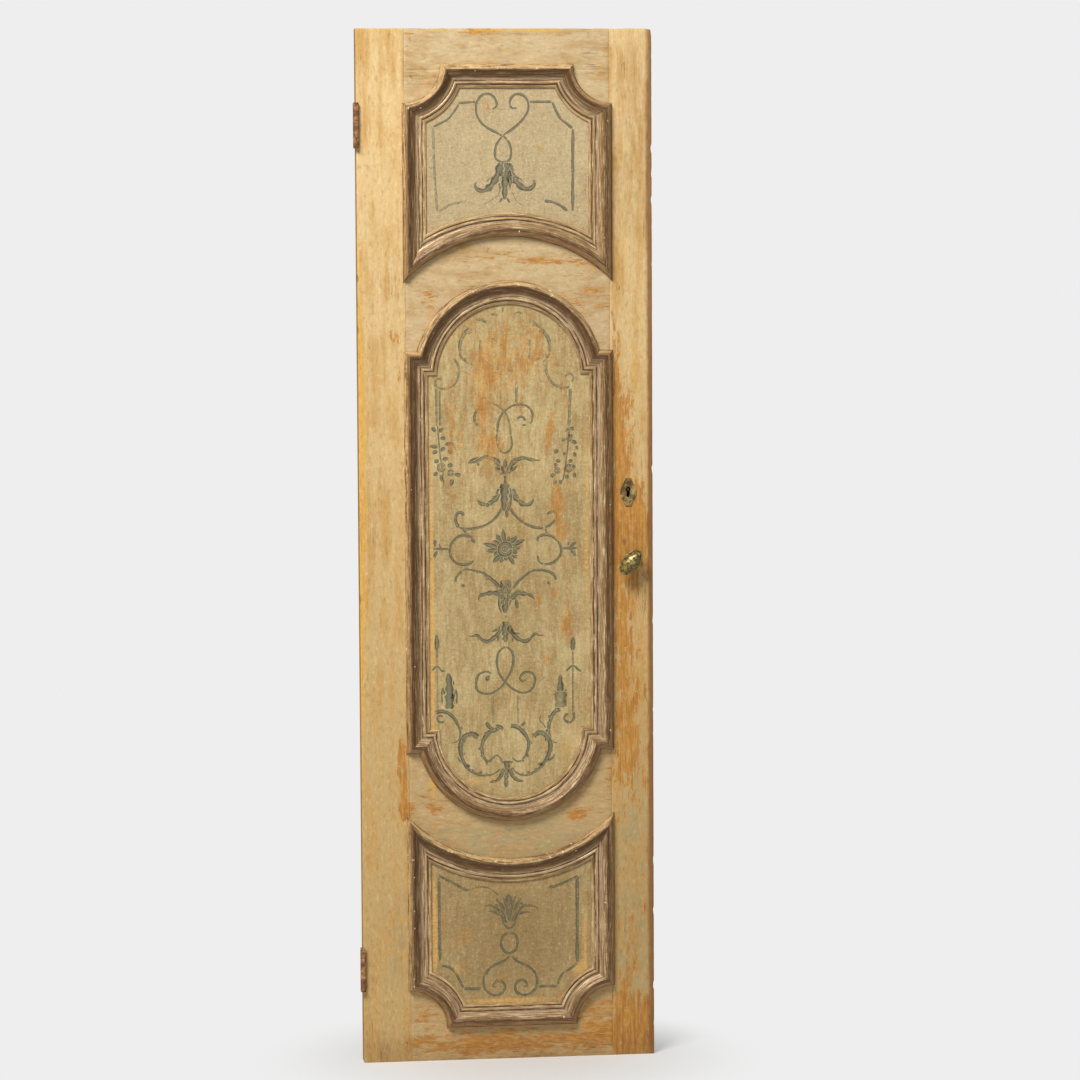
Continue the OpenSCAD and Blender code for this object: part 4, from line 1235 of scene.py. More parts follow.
class Brush(Enum):
    """How the width of a stroke goes along it: pairs of a share of its length and a width."""

    LINE = ((0.0, 0.55), (0.1, 1.0), (0.5, 0.85), (0.9, 1.0), (1.0, 0.5))
    LEAF = ((0.0, 0.15), (0.25, 0.8), (0.45, 1.0), (0.75, 0.75), (1.0, 0.08))
    CURL = ((0.0, 1.0), (0.3, 0.85), (0.65, 0.5), (1.0, 0.22))
    LOBED = ((0.0, 0.5), (0.12, 1.0), (0.2, 0.62), (0.34, 1.0), (0.44, 0.55), (0.56, 0.85),
             (0.66, 0.45), (0.78, 0.62), (1.0, 0.1))

    def width(self, share: float) -> float:
        """The width at a share of the length, as a part of the full width."""
        for (a, low), (b, high) in zip(self.value, self.value[1:]):
            if share <= b:
                return low + (high - low) * (share - a) / (b - a)
        return self.value[-1][1]


@dataclass(frozen=True)
class Stroke:
    """One brush stroke: its full width in millimetres, brush, strength and course."""

    full: float
    brush: Brush
    ink: float
    course: tuple[float, ...]

    @property
    def points(self) -> list[Point]:
        """The course as points."""
        return list(zip(self.course[::2], self.course[1::2]))


def line(full: float, *course: float, ink: float = 1.0) -> Stroke:
    """An even stroke."""
    return Stroke(full, Brush.LINE, ink, course)


def leaf(full: float, *course: float, ink: float = 1.0) -> Stroke:
    """A stroke that swells and thins out again."""
    return Stroke(full, Brush.LEAF, ink, course)


def curl(full: float, *course: float, ink: float = 1.0) -> Stroke:
    """A stroke that starts broad and thins out."""
    return Stroke(full, Brush.CURL, ink, course)


def lobed(full: float, *course: float, ink: float = 1.0) -> Stroke:
    """A broad stroke with a ragged, lobed edge."""
    return Stroke(full, Brush.LOBED, ink, course)


def heading(way: Sequence[Point], at: int, reach: int) -> Point:
    """The direction of a course at one of its points, taken over a few neighbours.

    Args:
        way: The course.
        at: Which point.
        reach: How many neighbours either side.

    Returns:
        The direction, of length one.
    """
    (x0, z0), (x1, z1) = way[max(0, at - reach)], way[min(len(way) - 1, at + reach)]
    span = math.hypot(x1 - x0, z1 - z0) or 1.0
    return (x1 - x0) / span, (z1 - z0) / span


def frond(full: float, *course: float, sides: tuple[int, ...] = (1, -1),
          lobes: int = 4) -> list[Stroke]:
    """An acanthus leaf: a broad stroke with lobes springing from its sides.

    Args:
        full: Full width of the middle stroke.
        course: The middle stroke's course.
        sides: Which sides bear lobes, 1 for left and -1 for right of the way.
        lobes: Number of lobes on a side.

    Returns:
        The strokes.
    """
    middle = lobed(full, *course)
    strokes, way = [middle], smooth_line(middle.points, 2.0)
    for side in sides:
        for i in range(lobes):
            at = round((0.12 + 0.78 * i / lobes) * (len(way) - 1))
            dx, dz = heading(way, at, 1)
            reach = full * (0.85 - 0.4 * i / lobes)
            x, z = way[at]
            course = [x - dz * side * full * 0.1, z + dx * side * full * 0.1]
            for on, out in ((0.35, 0.55), (0.95, 0.62)):
                course += [x + (dx * on - dz * side * out) * reach,
                           z + (dz * on + dx * side * out) * reach]
            strokes.append(leaf(full * 0.32, *course))
    return strokes


def thorny(full: float, *course: float, side: int = 1, count: int = 6) -> list[Stroke]:
    """A line with small pointed leaves springing from its outer side.

    Args:
        full: Full width of the line.
        course: Its course.
        side: The side that bears them, 1 for left and -1 for right of the way.
        count: Number of leaves.

    Returns:
        The strokes.
    """
    stem = curl(full, *course)
    strokes, way = [stem], smooth_line(stem.points, 2.0)
    for i in range(count):
        at = round((0.1 + 0.8 * i / count) * (len(way) - 1))
        dx, dz = heading(way, at, 2)
        x, z = way[at]
        reach = full * (0.9 + 0.5 * (i % 2))
        strokes.append(leaf(full * 0.62, x, z, x + (dx * 0.7 - dz * side * 0.8) * reach,
                            z + (dz * 0.7 + dx * side * 0.8) * reach))
    return strokes


def ring(x: float, z: float, radius: float, first: float = 0.0, last: float = 360.0,
         end_radius: Optional[float] = None) -> list[float]:
    """The course of a ring, or of a spiral where the end radius differs.

    Args:
        x: Its centre from the hinge edge.
        z: Its centre's height.
        radius: Radius at the start.
        first: Angle at the start, in degrees.
        last: Angle at the end.
        end_radius: Radius at the end.

    Returns:
        Distances from the hinge edge and heights, in turn.
    """
    end = radius if end_radius is None else end_radius
    count = max(6, round(abs(last - first) / 24))
    course: list[float] = []
    for t in (i / count for i in range(count + 1)):
        angle, reach = math.radians(first + (last - first) * t), radius + (end - radius) * t
        course += [x + reach * math.cos(angle), z + reach * math.sin(angle)]
    return course


def sunflower(x: float, z: float, petals: int = 16) -> list[Stroke]:
    """Petals of three lengths, shorter towards the foot, round a ringed eye.

    Args:
        x: Its centre from the hinge edge.
        z: Its centre's height.
        petals: Number of petals.

    Returns:
        The strokes.
    """
    strokes: list[Stroke] = []
    for i in range(petals):
        angle = 2 * math.pi * i / petals + 0.1
        tip = (31, 38, 46)[(i * 2) % 3] * (0.86 if math.sin(angle) < -0.2 else 1.0)
        dx, dz = math.cos(angle), math.sin(angle)
        strokes.append(leaf(7, x + 13 * dx, z + 13 * dz, x + tip * dx * 1.04,
                            z + tip * dz * 0.92))
    return strokes + [line(5.5, *ring(x, z, 12)), line(6, *ring(x, z, 5.5)),
                      line(3, x - 4, z, x + 4, z)]


def faint(swell: float, strokes: Sequence[Stroke], ink: float = 0.86) -> list[Stroke]:
    """Strokes that are mostly worn away: a little wider, and all of one strength."""
    return [Stroke(s.full * swell, s.brush, ink, s.course) for s in strokes]


# The strokes of each panel. Their courses are distances from the hinge edge and heights, in
# turn, in millimetres.

# The top panel: a border, a heart of scrolls and an acanthus.
TOP_PANEL = [
    line(4, 163, 1733, 158, 1800, 155, 1903, ink=0.8),
    line(3, 155, 1903, 172, 1911, 187, 1920, 198, 1934, 208, 1949), line(3.6, 206, 1951, 245, 1953),
    line(3.6, 350, 1953, 397, 1953), line(4, 397, 1953, 405, 1935, 415, 1918, 428, 1908, 439, 1899),
    line(4.6, 439, 1899, 438, 1732), line(4, 165, 1733, 185, 1745, 205, 1751, 222, 1754, ink=0.75),
    line(1.8, *ring(232, 1758, 11), ink=0.45), line(2.2, *ring(368, 1761, 10), ink=0.6),
    line(4, 380, 1754, 398, 1751, 415, 1743, 428, 1733), line(3, 428, 1733, 445, 1722, ink=0.5),
    line(3.6, 276, 1938, 284, 1945, 282, 1957, 275, 1966, 262, 1969, 250, 1962, 243, 1948, 243,
         1930, 250, 1915, 262, 1903, 280, 1893, 296, 1885),
    line(3.4, *ring(322, 1946, 4, 300, 180, 11)),
    line(3.6, 311, 1945, 312, 1958, 322, 1968, 336, 1967, 346, 1957, 349, 1942, 344, 1927, 330,
         1910, 314, 1897, 300, 1888, 296, 1884),
    line(3.4, 296, 1885, 285, 1870, 280, 1852, 283, 1838, 297, 1832, 310, 1838, 313, 1855, 308,
         1872, 296, 1886), line(1.2, 284, 1938, 312, 1938, ink=0.7),
    *frond(14.4, 299, 1832, 300, 1795, 299, 1756, lobes=5), leaf(8, 292, 1828, 290, 1775),
    leaf(7, 307, 1828, 311, 1778),
    *frond(12, 292, 1830, 284, 1805, 272, 1785, 258, 1775, 245, 1777, 239, 1786, 243, 1793,
           sides=(-1,)),
    *frond(12, 306, 1830, 315, 1805, 328, 1787, 340, 1779, 352, 1779, 360, 1788, 358, 1797,
           sides=(1,)), curl(3, 284, 1805, 270, 1800, 263, 1792),
    curl(3, 316, 1803, 330, 1799, 336, 1792),
    line(1.3, 292, 1780, 285, 1765, 270, 1755, 255, 1747, ink=0.8),
    line(1.4, 306, 1785, 318, 1765, 325, 1752, 338, 1745, ink=0.8), leaf(3, 296, 1762, 288, 1750),
    leaf(3, 303, 1762, 311, 1749),
]

# Faint strokes at the head of the centre panel, down to the side drops.
CREST = faint(1.15, [
    line(2.5, 294, 1541, 294, 1530), line(3, 268, 1527, 285, 1524),
    line(2.2, 315, 1525, 325, 1530, 335, 1526), line(3.2, 238, 1516, 250, 1514, 262, 1510),
    line(5, 355, 1507, 366, 1502, 376, 1493),
    *thorny(5.9, 228, 1497, 218, 1490, 209, 1475, 206, 1455, 210, 1438, 222, 1428, 232, 1424,
            count=6), leaf(9, 219, 1488, 231, 1498), line(5, 262, 1480, 270, 1474, 285, 1476),
    line(2.5, 248, 1475, 247, 1450, 250, 1438, 257, 1432), line(4, 266, 1427, 275, 1418, 290, 1415),
    line(5, 303, 1416, 312, 1412),
    *thorny(5.9, 368, 1495, 378, 1488, 387, 1475, 390, 1455, 386, 1438, 374, 1428, side=-1,
            count=6), line(3, 345, 1436, 360, 1434, 378, 1440),
    line(3, 348, 1475, 349, 1450, 346, 1438, 339, 1432),
    line(3, 193, 1438, 202, 1425, 204, 1405, 198, 1388, 185, 1378, 170, 1376, 158, 1380),
    line(3, *ring(165, 1390, 12, 250, 40, 5)),
    line(3.6, 385, 1437, 382, 1415, 388, 1395, 400, 1382, 415, 1376, 430, 1378),
    line(3, 420, 1398, 430, 1405, 437, 1398, 434, 1386), line(3, 268, 1427, 268, 1352),
    line(3.5, 321, 1391, 321, 1345), line(3, 158, 1378, 158, 1300), line(3, 165, 1374, 165, 1300),
    line(4, 432, 1376, 428, 1296),
])

# The knotted loop above the middle and the two acanthus under it.
LOOPS = [
    line(3.5, 281, 1285, 284, 1308, 292, 1325, 303, 1335, 318, 1342, 335, 1342, 348, 1335, 354,
         1322, 352, 1308, 348, 1303),
    line(3, 309, 1275, 307, 1300, 302, 1318, 293, 1332, 282, 1341, 268, 1346, 258, 1347, 243, 1336,
         ink=0.85), line(4.2, 243, 1336, 237, 1325, 235, 1313, 238, 1305, 244, 1302),
    line(3.4, 281, 1285, 281, 1268, 286, 1252, 297, 1245, 308, 1252, 311, 1265, 309, 1280),
    line(4, 322, 1313, 328, 1318, 336, 1316, 338, 1308), line(3, 332, 1301, 342, 1301),
    line(3.4, 265, 1318, 268, 1305, 262, 1300, ink=0.5),
    *frond(8.4, 292, 1200, 287, 1215, 280, 1228, 268, 1235, 255, 1237, 245, 1232, 238, 1228, 223,
           1225, sides=(1,)), leaf(8, 252, 1236, 236, 1231, 221, 1224),
    leaf(4, 243, 1227, 242, 1217),
    *frond(8.4, 303, 1203, 308, 1218, 318, 1229, 335, 1234, 348, 1231, 369, 1228, sides=(-1,)),
    leaf(8, 297, 1200, 297, 1234), leaf(5.5, 289, 1206, 275, 1218), leaf(5, 305, 1206, 323, 1219),
    line(4, 297, 1200, 297, 1180), *frond(14.4, 296, 1182, 295, 1155, 294, 1126, lobes=5),
    leaf(9, 304, 1180, 305, 1150, 303, 1125), leaf(5, 300, 1132, 300, 1111),
    *frond(9.6, 287, 1172, 283, 1160, 275, 1150, 262, 1141, 250, 1141, 242, 1147, 240, 1153,
           sides=(-1,)), leaf(6, 266, 1136, 256, 1142),
    *frond(9.6, 310, 1172, 315, 1158, 322, 1150, 330, 1143, 342, 1138, 352, 1145, 355, 1152,
           sides=(1,)),
]

# The middle of the centre panel: brackets, side rings and the sunflower.
HEART = [
    line(4, 290, 1135, 283, 1120, 270, 1107, 255, 1098, 238, 1093, 218, 1091, 202, 1094),
    line(4.5, 202, 1094, 196, 1105, 195, 1115, 199, 1123, 207, 1125, 213, 1118),
    line(4, 306, 1135, 315, 1120, 330, 1106, 345, 1097, 360, 1092, 375, 1091),
    line(4, 378, 1092, 390, 1098, 399, 1108, 401, 1118, 396, 1124, 387, 1122, 383, 1117),
    line(5, 212, 1092, 217, 1082),
    line(4, 230, 1073, 218, 1077, 205, 1077, 193, 1070, 185, 1058, 183, 1045, 187, 1032, 196, 1023,
         208, 1019, 222, 1020, 232, 1027), leaf(6, 226, 1072, 236, 1063),
    line(3, 200, 1078, 212, 1080, 216, 1084, 222, 1079, 230, 1074),
    line(4, 362, 1063, 365, 1073, 380, 1077, 395, 1072, 406, 1062, 411, 1047, 408, 1033, 398, 1022,
         385, 1017, 375, 1017), line(3, 363, 1035, 366, 1022, 375, 1017),
    line(3, 378, 1090, 384, 1078), leaf(4, 182, 1051, 147, 1052), leaf(5, 153, 1072, 153, 1054),
    leaf(5, 158, 1048, 150, 1033), leaf(3, 166, 1052, 160, 1062), leaf(5, 412, 1049, 447, 1049),
    leaf(5, 428, 1052, 443, 1062), leaf(5, 430, 1046, 443, 1032), leaf(3, 425, 1053, 427, 1064),
    *sunflower(296, 1049),
]

# The lower brackets with the third and the fourth acanthus.
BRACKETS = [
    *thorny(6.2, 288, 962, 278, 978, 265, 990, 250, 1001, 232, 1006, 215, 1009, 208, 1005, count=3),
    line(4, 208, 1005, 200, 998, 195, 990, 195, 983), leaf(5, 205, 979, 214, 974),
    line(4, 310, 967, 322, 982, 337, 995, 352, 1004, 370, 1005, 388, 1001, 398, 992, 400, 983),
    leaf(6, 388, 981, 382, 975), *frond(16.8, 297, 987, 296, 955, 295, 918, lobes=5),
    leaf(8, 305, 975, 304, 930),
    *frond(8.4, 293, 945, 283, 958, 270, 960, 255, 958, 245, 955, 240, 945, sides=(1,)),
    leaf(6, 283, 952, 287, 918), leaf(5, 318, 948, 321, 926),
    *frond(8.4, 308, 945, 318, 958, 330, 958, 345, 955, 353, 950, 355, 944, sides=(-1,)),
    line(5, 294, 912, 300, 912), *frond(13.2, 296, 902, 296, 880, 296, 858),
    *frond(7.2, 290, 895, 283, 880, 272, 868, 258, 861, 246, 866, 238, 874, 228, 872, 220, 874,
           sides=(1,)),
    *frond(7.2, 303, 895, 308, 880, 318, 868, 335, 860, 347, 866, 355, 875, 365, 872, 375, 872,
           sides=(-1,)), leaf(4, 284, 887, 267, 880), leaf(3.5, 306, 890, 312, 878, 327, 876),
    leaf(3, 282, 873, 280, 860), leaf(3, 311, 873, 311, 858),
]

# Where each leaf of the drops ends and where it springs from.
DROP_LEAVES = (
    (148, 1300, 156, 1288), (172, 1296, 160, 1288), (177, 1277, 163, 1275), (193, 1264, 173, 1264),
    (143, 1261, 162, 1257), (148, 1244, 160, 1252), (192, 1248, 178, 1250), (192, 1222, 178, 1220),
    (150, 1200, 160, 1208), (168, 1188, 166, 1203), (208, 1200, 192, 1203), (186, 1178, 190, 1195),
    (176, 1258, 164, 1250), (152, 1228, 163, 1232), (182, 1236, 168, 1232), (422, 1290, 430, 1293),
    (440, 1295, 430, 1290), (437, 1278, 425, 1277), (412, 1268, 422, 1272), (445, 1262, 433, 1268),
    (448, 1255, 440, 1252), (397, 1243, 407, 1250), (443, 1235, 436, 1245), (400, 1228, 412, 1226),
    (396, 1218, 405, 1220), (442, 1212, 433, 1218), (388, 1196, 402, 1200), (440, 1192, 438, 1204),
    (424, 1190, 423, 1200), (398, 1176, 400, 1190), (410, 1178, 410, 1190), (414, 1240, 424, 1244),
    (436, 1225, 426, 1228),
)

# The flower drops beside the upper half of the centre panel.
DROPS = [
    line(2.2, 160, 1300, 165, 1240, 170, 1205, 172, 1180),
    line(2.2, 430, 1296, 425, 1250, 418, 1200, 412, 1180),
    *[leaf(6, *course) for course in DROP_LEAVES],
    *[line(4.4, *ring(x, z, r), ink=0.9) for x, z, r in (
        (167, 1217, 6.5), (428, 1272, 3), (427, 1212, 6), (186, 1206, 4), (404, 1208, 4))],
]

# The lower knotted loop of the centre panel with its buds and torches.
TAIL = [
    line(3.5, 296, 850, 283, 840, 278, 822, 281, 800, 290, 783, 300, 772, 312, 762, 328, 755, 343,
         757, 353, 768, 356, 782, 351, 793, 340, 797, 330, 793, 325, 784, 331, 778, 337, 783),
    line(3.5, 296, 850, 307, 842, 312, 825, 308, 803, 299, 785, 287, 768, 272, 757, 262, 754, 248,
         755, 237, 762, 235, 775, 238, 790, 248, 798, 260, 799, 266, 793),
    leaf(9, 254, 789, 264, 783), line(4, 268, 752, 270, 690, ink=0.75),
    line(3, 321, 750, 320, 690, ink=0.75), leaf(7, 155, 878, 155, 842),
    line(2.6, 156, 850, 156, 720, ink=0.8), line(3, 145, 803, 155, 812, 165, 803, 172, 802),
    leaf(8, 435, 868, 433, 836), line(3, 434, 840, 434, 712, ink=0.85),
    line(3.4, 420, 797, 428, 805, 436, 808, 445, 800, 452, 796),
    *frond(15.6, 180, 724, 181, 760, 178, 798), leaf(8, 171, 724, 166, 770),
    leaf(8, 190, 724, 194, 765), leaf(6, 184, 760, 188, 784), *frond(10.8, 408, 755, 408, 790),
    line(19, 409, 722, 409, 757, ink=0.85), line(4, 396, 758, 422, 758),
    line(16, 180, 724, 180, 756, ink=0.85),
    *thorny(5.9, 152, 716, 160, 720, 175, 717, 188, 707, 197, 692, 202, 675, 198, 660, 188, 655,
            183, 656, count=5), line(3, 170, 700, 165, 697, 157, 699, 155, 707, 161, 711, 168, 708),
    line(3.6, 433, 718, 436, 705, 432, 694, 423, 692, 416, 698, 418, 707, 426, 709),
    *thorny(6.8, 408, 720, 397, 715, 388, 700, 384, 683, 386, 665, 392, 653, 402, 650, side=-1,
            count=5), line(1.6, 368, 707, 365, 698, 372, 690, 378, 680),
]

# The shell and the wide scrolls at the foot of the centre panel.
SHELL = [
    *thorny(6.8, 285, 685, 275, 680, 262, 675, 250, 660, 246, 645, 248, 628, 255, 617, 263, 616,
            268, 623, 277, 627, 285, 620, 288, 610, side=-1, count=7),
    leaf(6, 254, 697, 262, 685, 272, 680), leaf(6, 292, 681, 273, 690),
    *thorny(6.8, 305, 687, 318, 685, 330, 675, 340, 660, 342, 645, 337, 628, 328, 616, 318, 614,
            308, 622, count=7), leaf(4, 337, 694, 323, 684),
    line(2.4, 285, 612, 298, 614, 310, 612), line(2.4, 290, 603, 305, 603),
    *thorny(7.6, 238, 665, 228, 672, 215, 670, 205, 660, 202, 645, 204, 628, 212, 608, 225, 595,
            245, 587, 262, 587, 275, 592, 283, 600, count=9), leaf(8, 226, 669, 240, 664),
    leaf(7, 350, 663, 362, 672, 375, 668),
    *thorny(7.6, 352, 664, 364, 672, 375, 668, 385, 655, 387, 640, 382, 625, 375, 612, 362, 597,
            345, 587, 330, 585, 315, 592, 308, 603, side=-1, count=9),
    *frond(9.6, 297, 614, 296, 590, 295, 560),
    *frond(7.2, 292, 600, 285, 585, 275, 575, 260, 572, sides=(-1,)),
    *frond(7.2, 302, 600, 310, 583, 320, 575, 332, 573, sides=(1,)),
    curl(4, 212, 612, 200, 618, 196, 628), curl(4, 380, 615, 392, 620, 397, 630),
]

# Faint strokes of the bottom panel.
BOTTOM_PANEL = faint(1.3, [
    line(3.6, 156, 380, 157, 205), line(4.2, 441, 375, 440, 195),
    line(3.2, 155, 383, 172, 374, 190, 364, 205, 355, 218, 350),
    line(3.2, 443, 375, 428, 367, 410, 360, 392, 354, 380, 352),
    line(1.4, 218, 350, 240, 357, 262, 352, 278, 338),
    line(3.2, 160, 197, 178, 191, 190, 178, 198, 163, 205, 149),
    line(3.2, 441, 193, 425, 182, 410, 172, 402, 158, 400, 150), line(3.6, 205, 147, 242, 146),
    line(3.2, 358, 148, 400, 147), leaf(9, 299, 342, 299, 308),
    curl(6, 292, 280, 285, 300, 275, 310, 262, 318, 250, 317),
    curl(5.5, 308, 282, 315, 300, 325, 313, 340, 316, 355, 313, 360, 306),
    leaf(5, 276, 308, 272, 322), leaf(5, 324, 312, 326, 324),
    leaf(4.2, 298, 284, 291, 305, 281, 322, 272, 332),
    leaf(4.2, 302, 284, 309, 305, 318, 322, 327, 332),
    leaf(3.8, 299, 284, 296, 308, 290, 328, 286, 338),
    leaf(3.8, 301, 284, 304, 308, 310, 328, 314, 338),
    leaf(3.4, 297, 283, 284, 297, 268, 305, 255, 306),
    leaf(3.4, 303, 283, 316, 297, 332, 303, 345, 301),
    line(2.6, 283, 300, 288, 280, 300, 270, 312, 280, 318, 300),
    line(3.2, 300, 262, 287, 254, 283, 240, 287, 226, 300, 218, 313, 226, 317, 240, 313, 254, 300,
         262),
    line(3.2, 300, 212, 290, 203, 275, 197, 262, 190, 250, 175, 246, 158, 252, 142, 268, 132, 283,
         135, 291, 148, 285, 160, 272, 160, 266, 152, 272, 148),
    line(3.2, 305, 212, 318, 200, 335, 192, 350, 180, 357, 163, 354, 145, 342, 133, 327, 131, 314,
         138, 312, 152, 320, 161, 332, 160, 336, 150, 328, 147),
])


@dataclass
class Ornament:
    """Scrollwork in grey-green pigment on the three panels, as thin films of paint."""

    plan: DoorPlan
    wear: Wear
    film: float = 0.3
    proud: float = 0.09
    layer_step: float = 0.02
    layers: int = 6
    pitch: float = 2.6
    fullness: float = 0.95
    bands: tuple[tuple[float, float, float], ...] = (
        (-1.0, 0.0, 0.9), (-0.62, 0.95, 1.0), (0.0, 0.85, 0.1), (0.66, 0.9, 0.55),
        (1.0, 0.0, 0.4),
    )

    def film_of(self, stroke: Stroke, number: int) -> bmesh.types.BMesh:
        """Lays one stroke down as a closed film.

        Args:
            stroke: The stroke.
            number: Its number, which sets how high it lies over the others.

        Returns:
            The film, whose layers hold its ink and its tone.
        """
        p = self.plan
        way = smooth_line(stroke.points, self.pitch)
        last = len(way) - 1
        bm = bmesh.new()
        ink = bm.verts.layers.float.new("ink")
        tone = bm.verts.layers.float.new("tone")
        rows = len(self.bands) - 1
        bmesh.ops.create_grid(bm, x_segments=last, y_segments=rows, size=0.5)
        lift = self.proud + self.layer_step * (number % self.layers)
        for v in bm.verts:
            i, j = round((v.co.x + 0.5) * last), round((v.co.y + 0.5) * rows)
            dx, dz = heading(way, i, 1)
            side, strength, shade = self.bands[j]
            share = i / last
            wobble = 1 + 0.22 * noise.noise(Vector((i * 0.37, number * 3.1, 0.5)))
            reach = side * stroke.full * self.fullness * stroke.brush.width(share) * wobble
            x, z = way[i][0] - dz * reach, way[i][1] + dx * reach
            v.co = p.place(x, surface_ripple(x, z) - lift, z)
            v[ink] = strength * stroke.ink * (0.5 if i in (0, last) else 1.0)
            v[tone] = shade
        pull(bm, bm.faces[:], (0, self.film * MM, 0))
        bmesh.ops.recalc_face_normals(bm, faces=bm.faces)
        return bm

    def build(self) -> None:
        """Lays every film down, one piece for each group of strokes."""
        finish = PanelPaint("painted_panel").material(self.plan, True)
        for name, strokes in (
            ("top_panel", TOP_PANEL), ("centre_crest", CREST), ("centre_loops", LOOPS),
            ("centre_heart", HEART), ("centre_brackets", BRACKETS), ("centre_drops", DROPS),
            ("centre_tail", TAIL), ("centre_shell", SHELL), ("bottom_panel", BOTTOM_PANEL),
        ):
            whole = bpy.data.meshes.new("films")
            joined = bmesh.new()
            for number, stroke in enumerate(strokes):
                bm = self.film_of(stroke, number)
                bm.to_mesh(whole)
                bm.free()
                joined.from_mesh(whole)
            bpy.data.meshes.remove(whole)
            piece = finish_piece("ornament_" + name, joined, "door", "painted_panel",
                                 [finish], (), 30)
            paint_points(piece, WEAR_NAMES, self.wear.at)


# ---------------------------------------------------------------- mouldings


@dataclass(frozen=True)
class Mitre:
    """A cut across a moulding, through two points; what lies left of the way is dropped."""

    start: Point
    end: Point


@dataclass(frozen=True)
class Run:
    """One mitred length of moulding, straight or round a centre.

    A straight run goes from start to end with its panel on the left. A round run goes
    about centre from the first to the last angle, with its panel outwards (way 1) or
    inwards (way -1).
    """

    node: str
    mitres: tuple[Mitre, ...]
    start: Point = (0.0, 0.0)
    end: Point = (0.0, 0.0)
    centre: Point = (0.0, 0.0)
    radius: float = 0.0
    angles: Point = (0.0, 0.0)
    way: int = 1

    @property
    def round(self) -> bool:
        """Whether the run goes round a centre."""
        return self.radius > 0


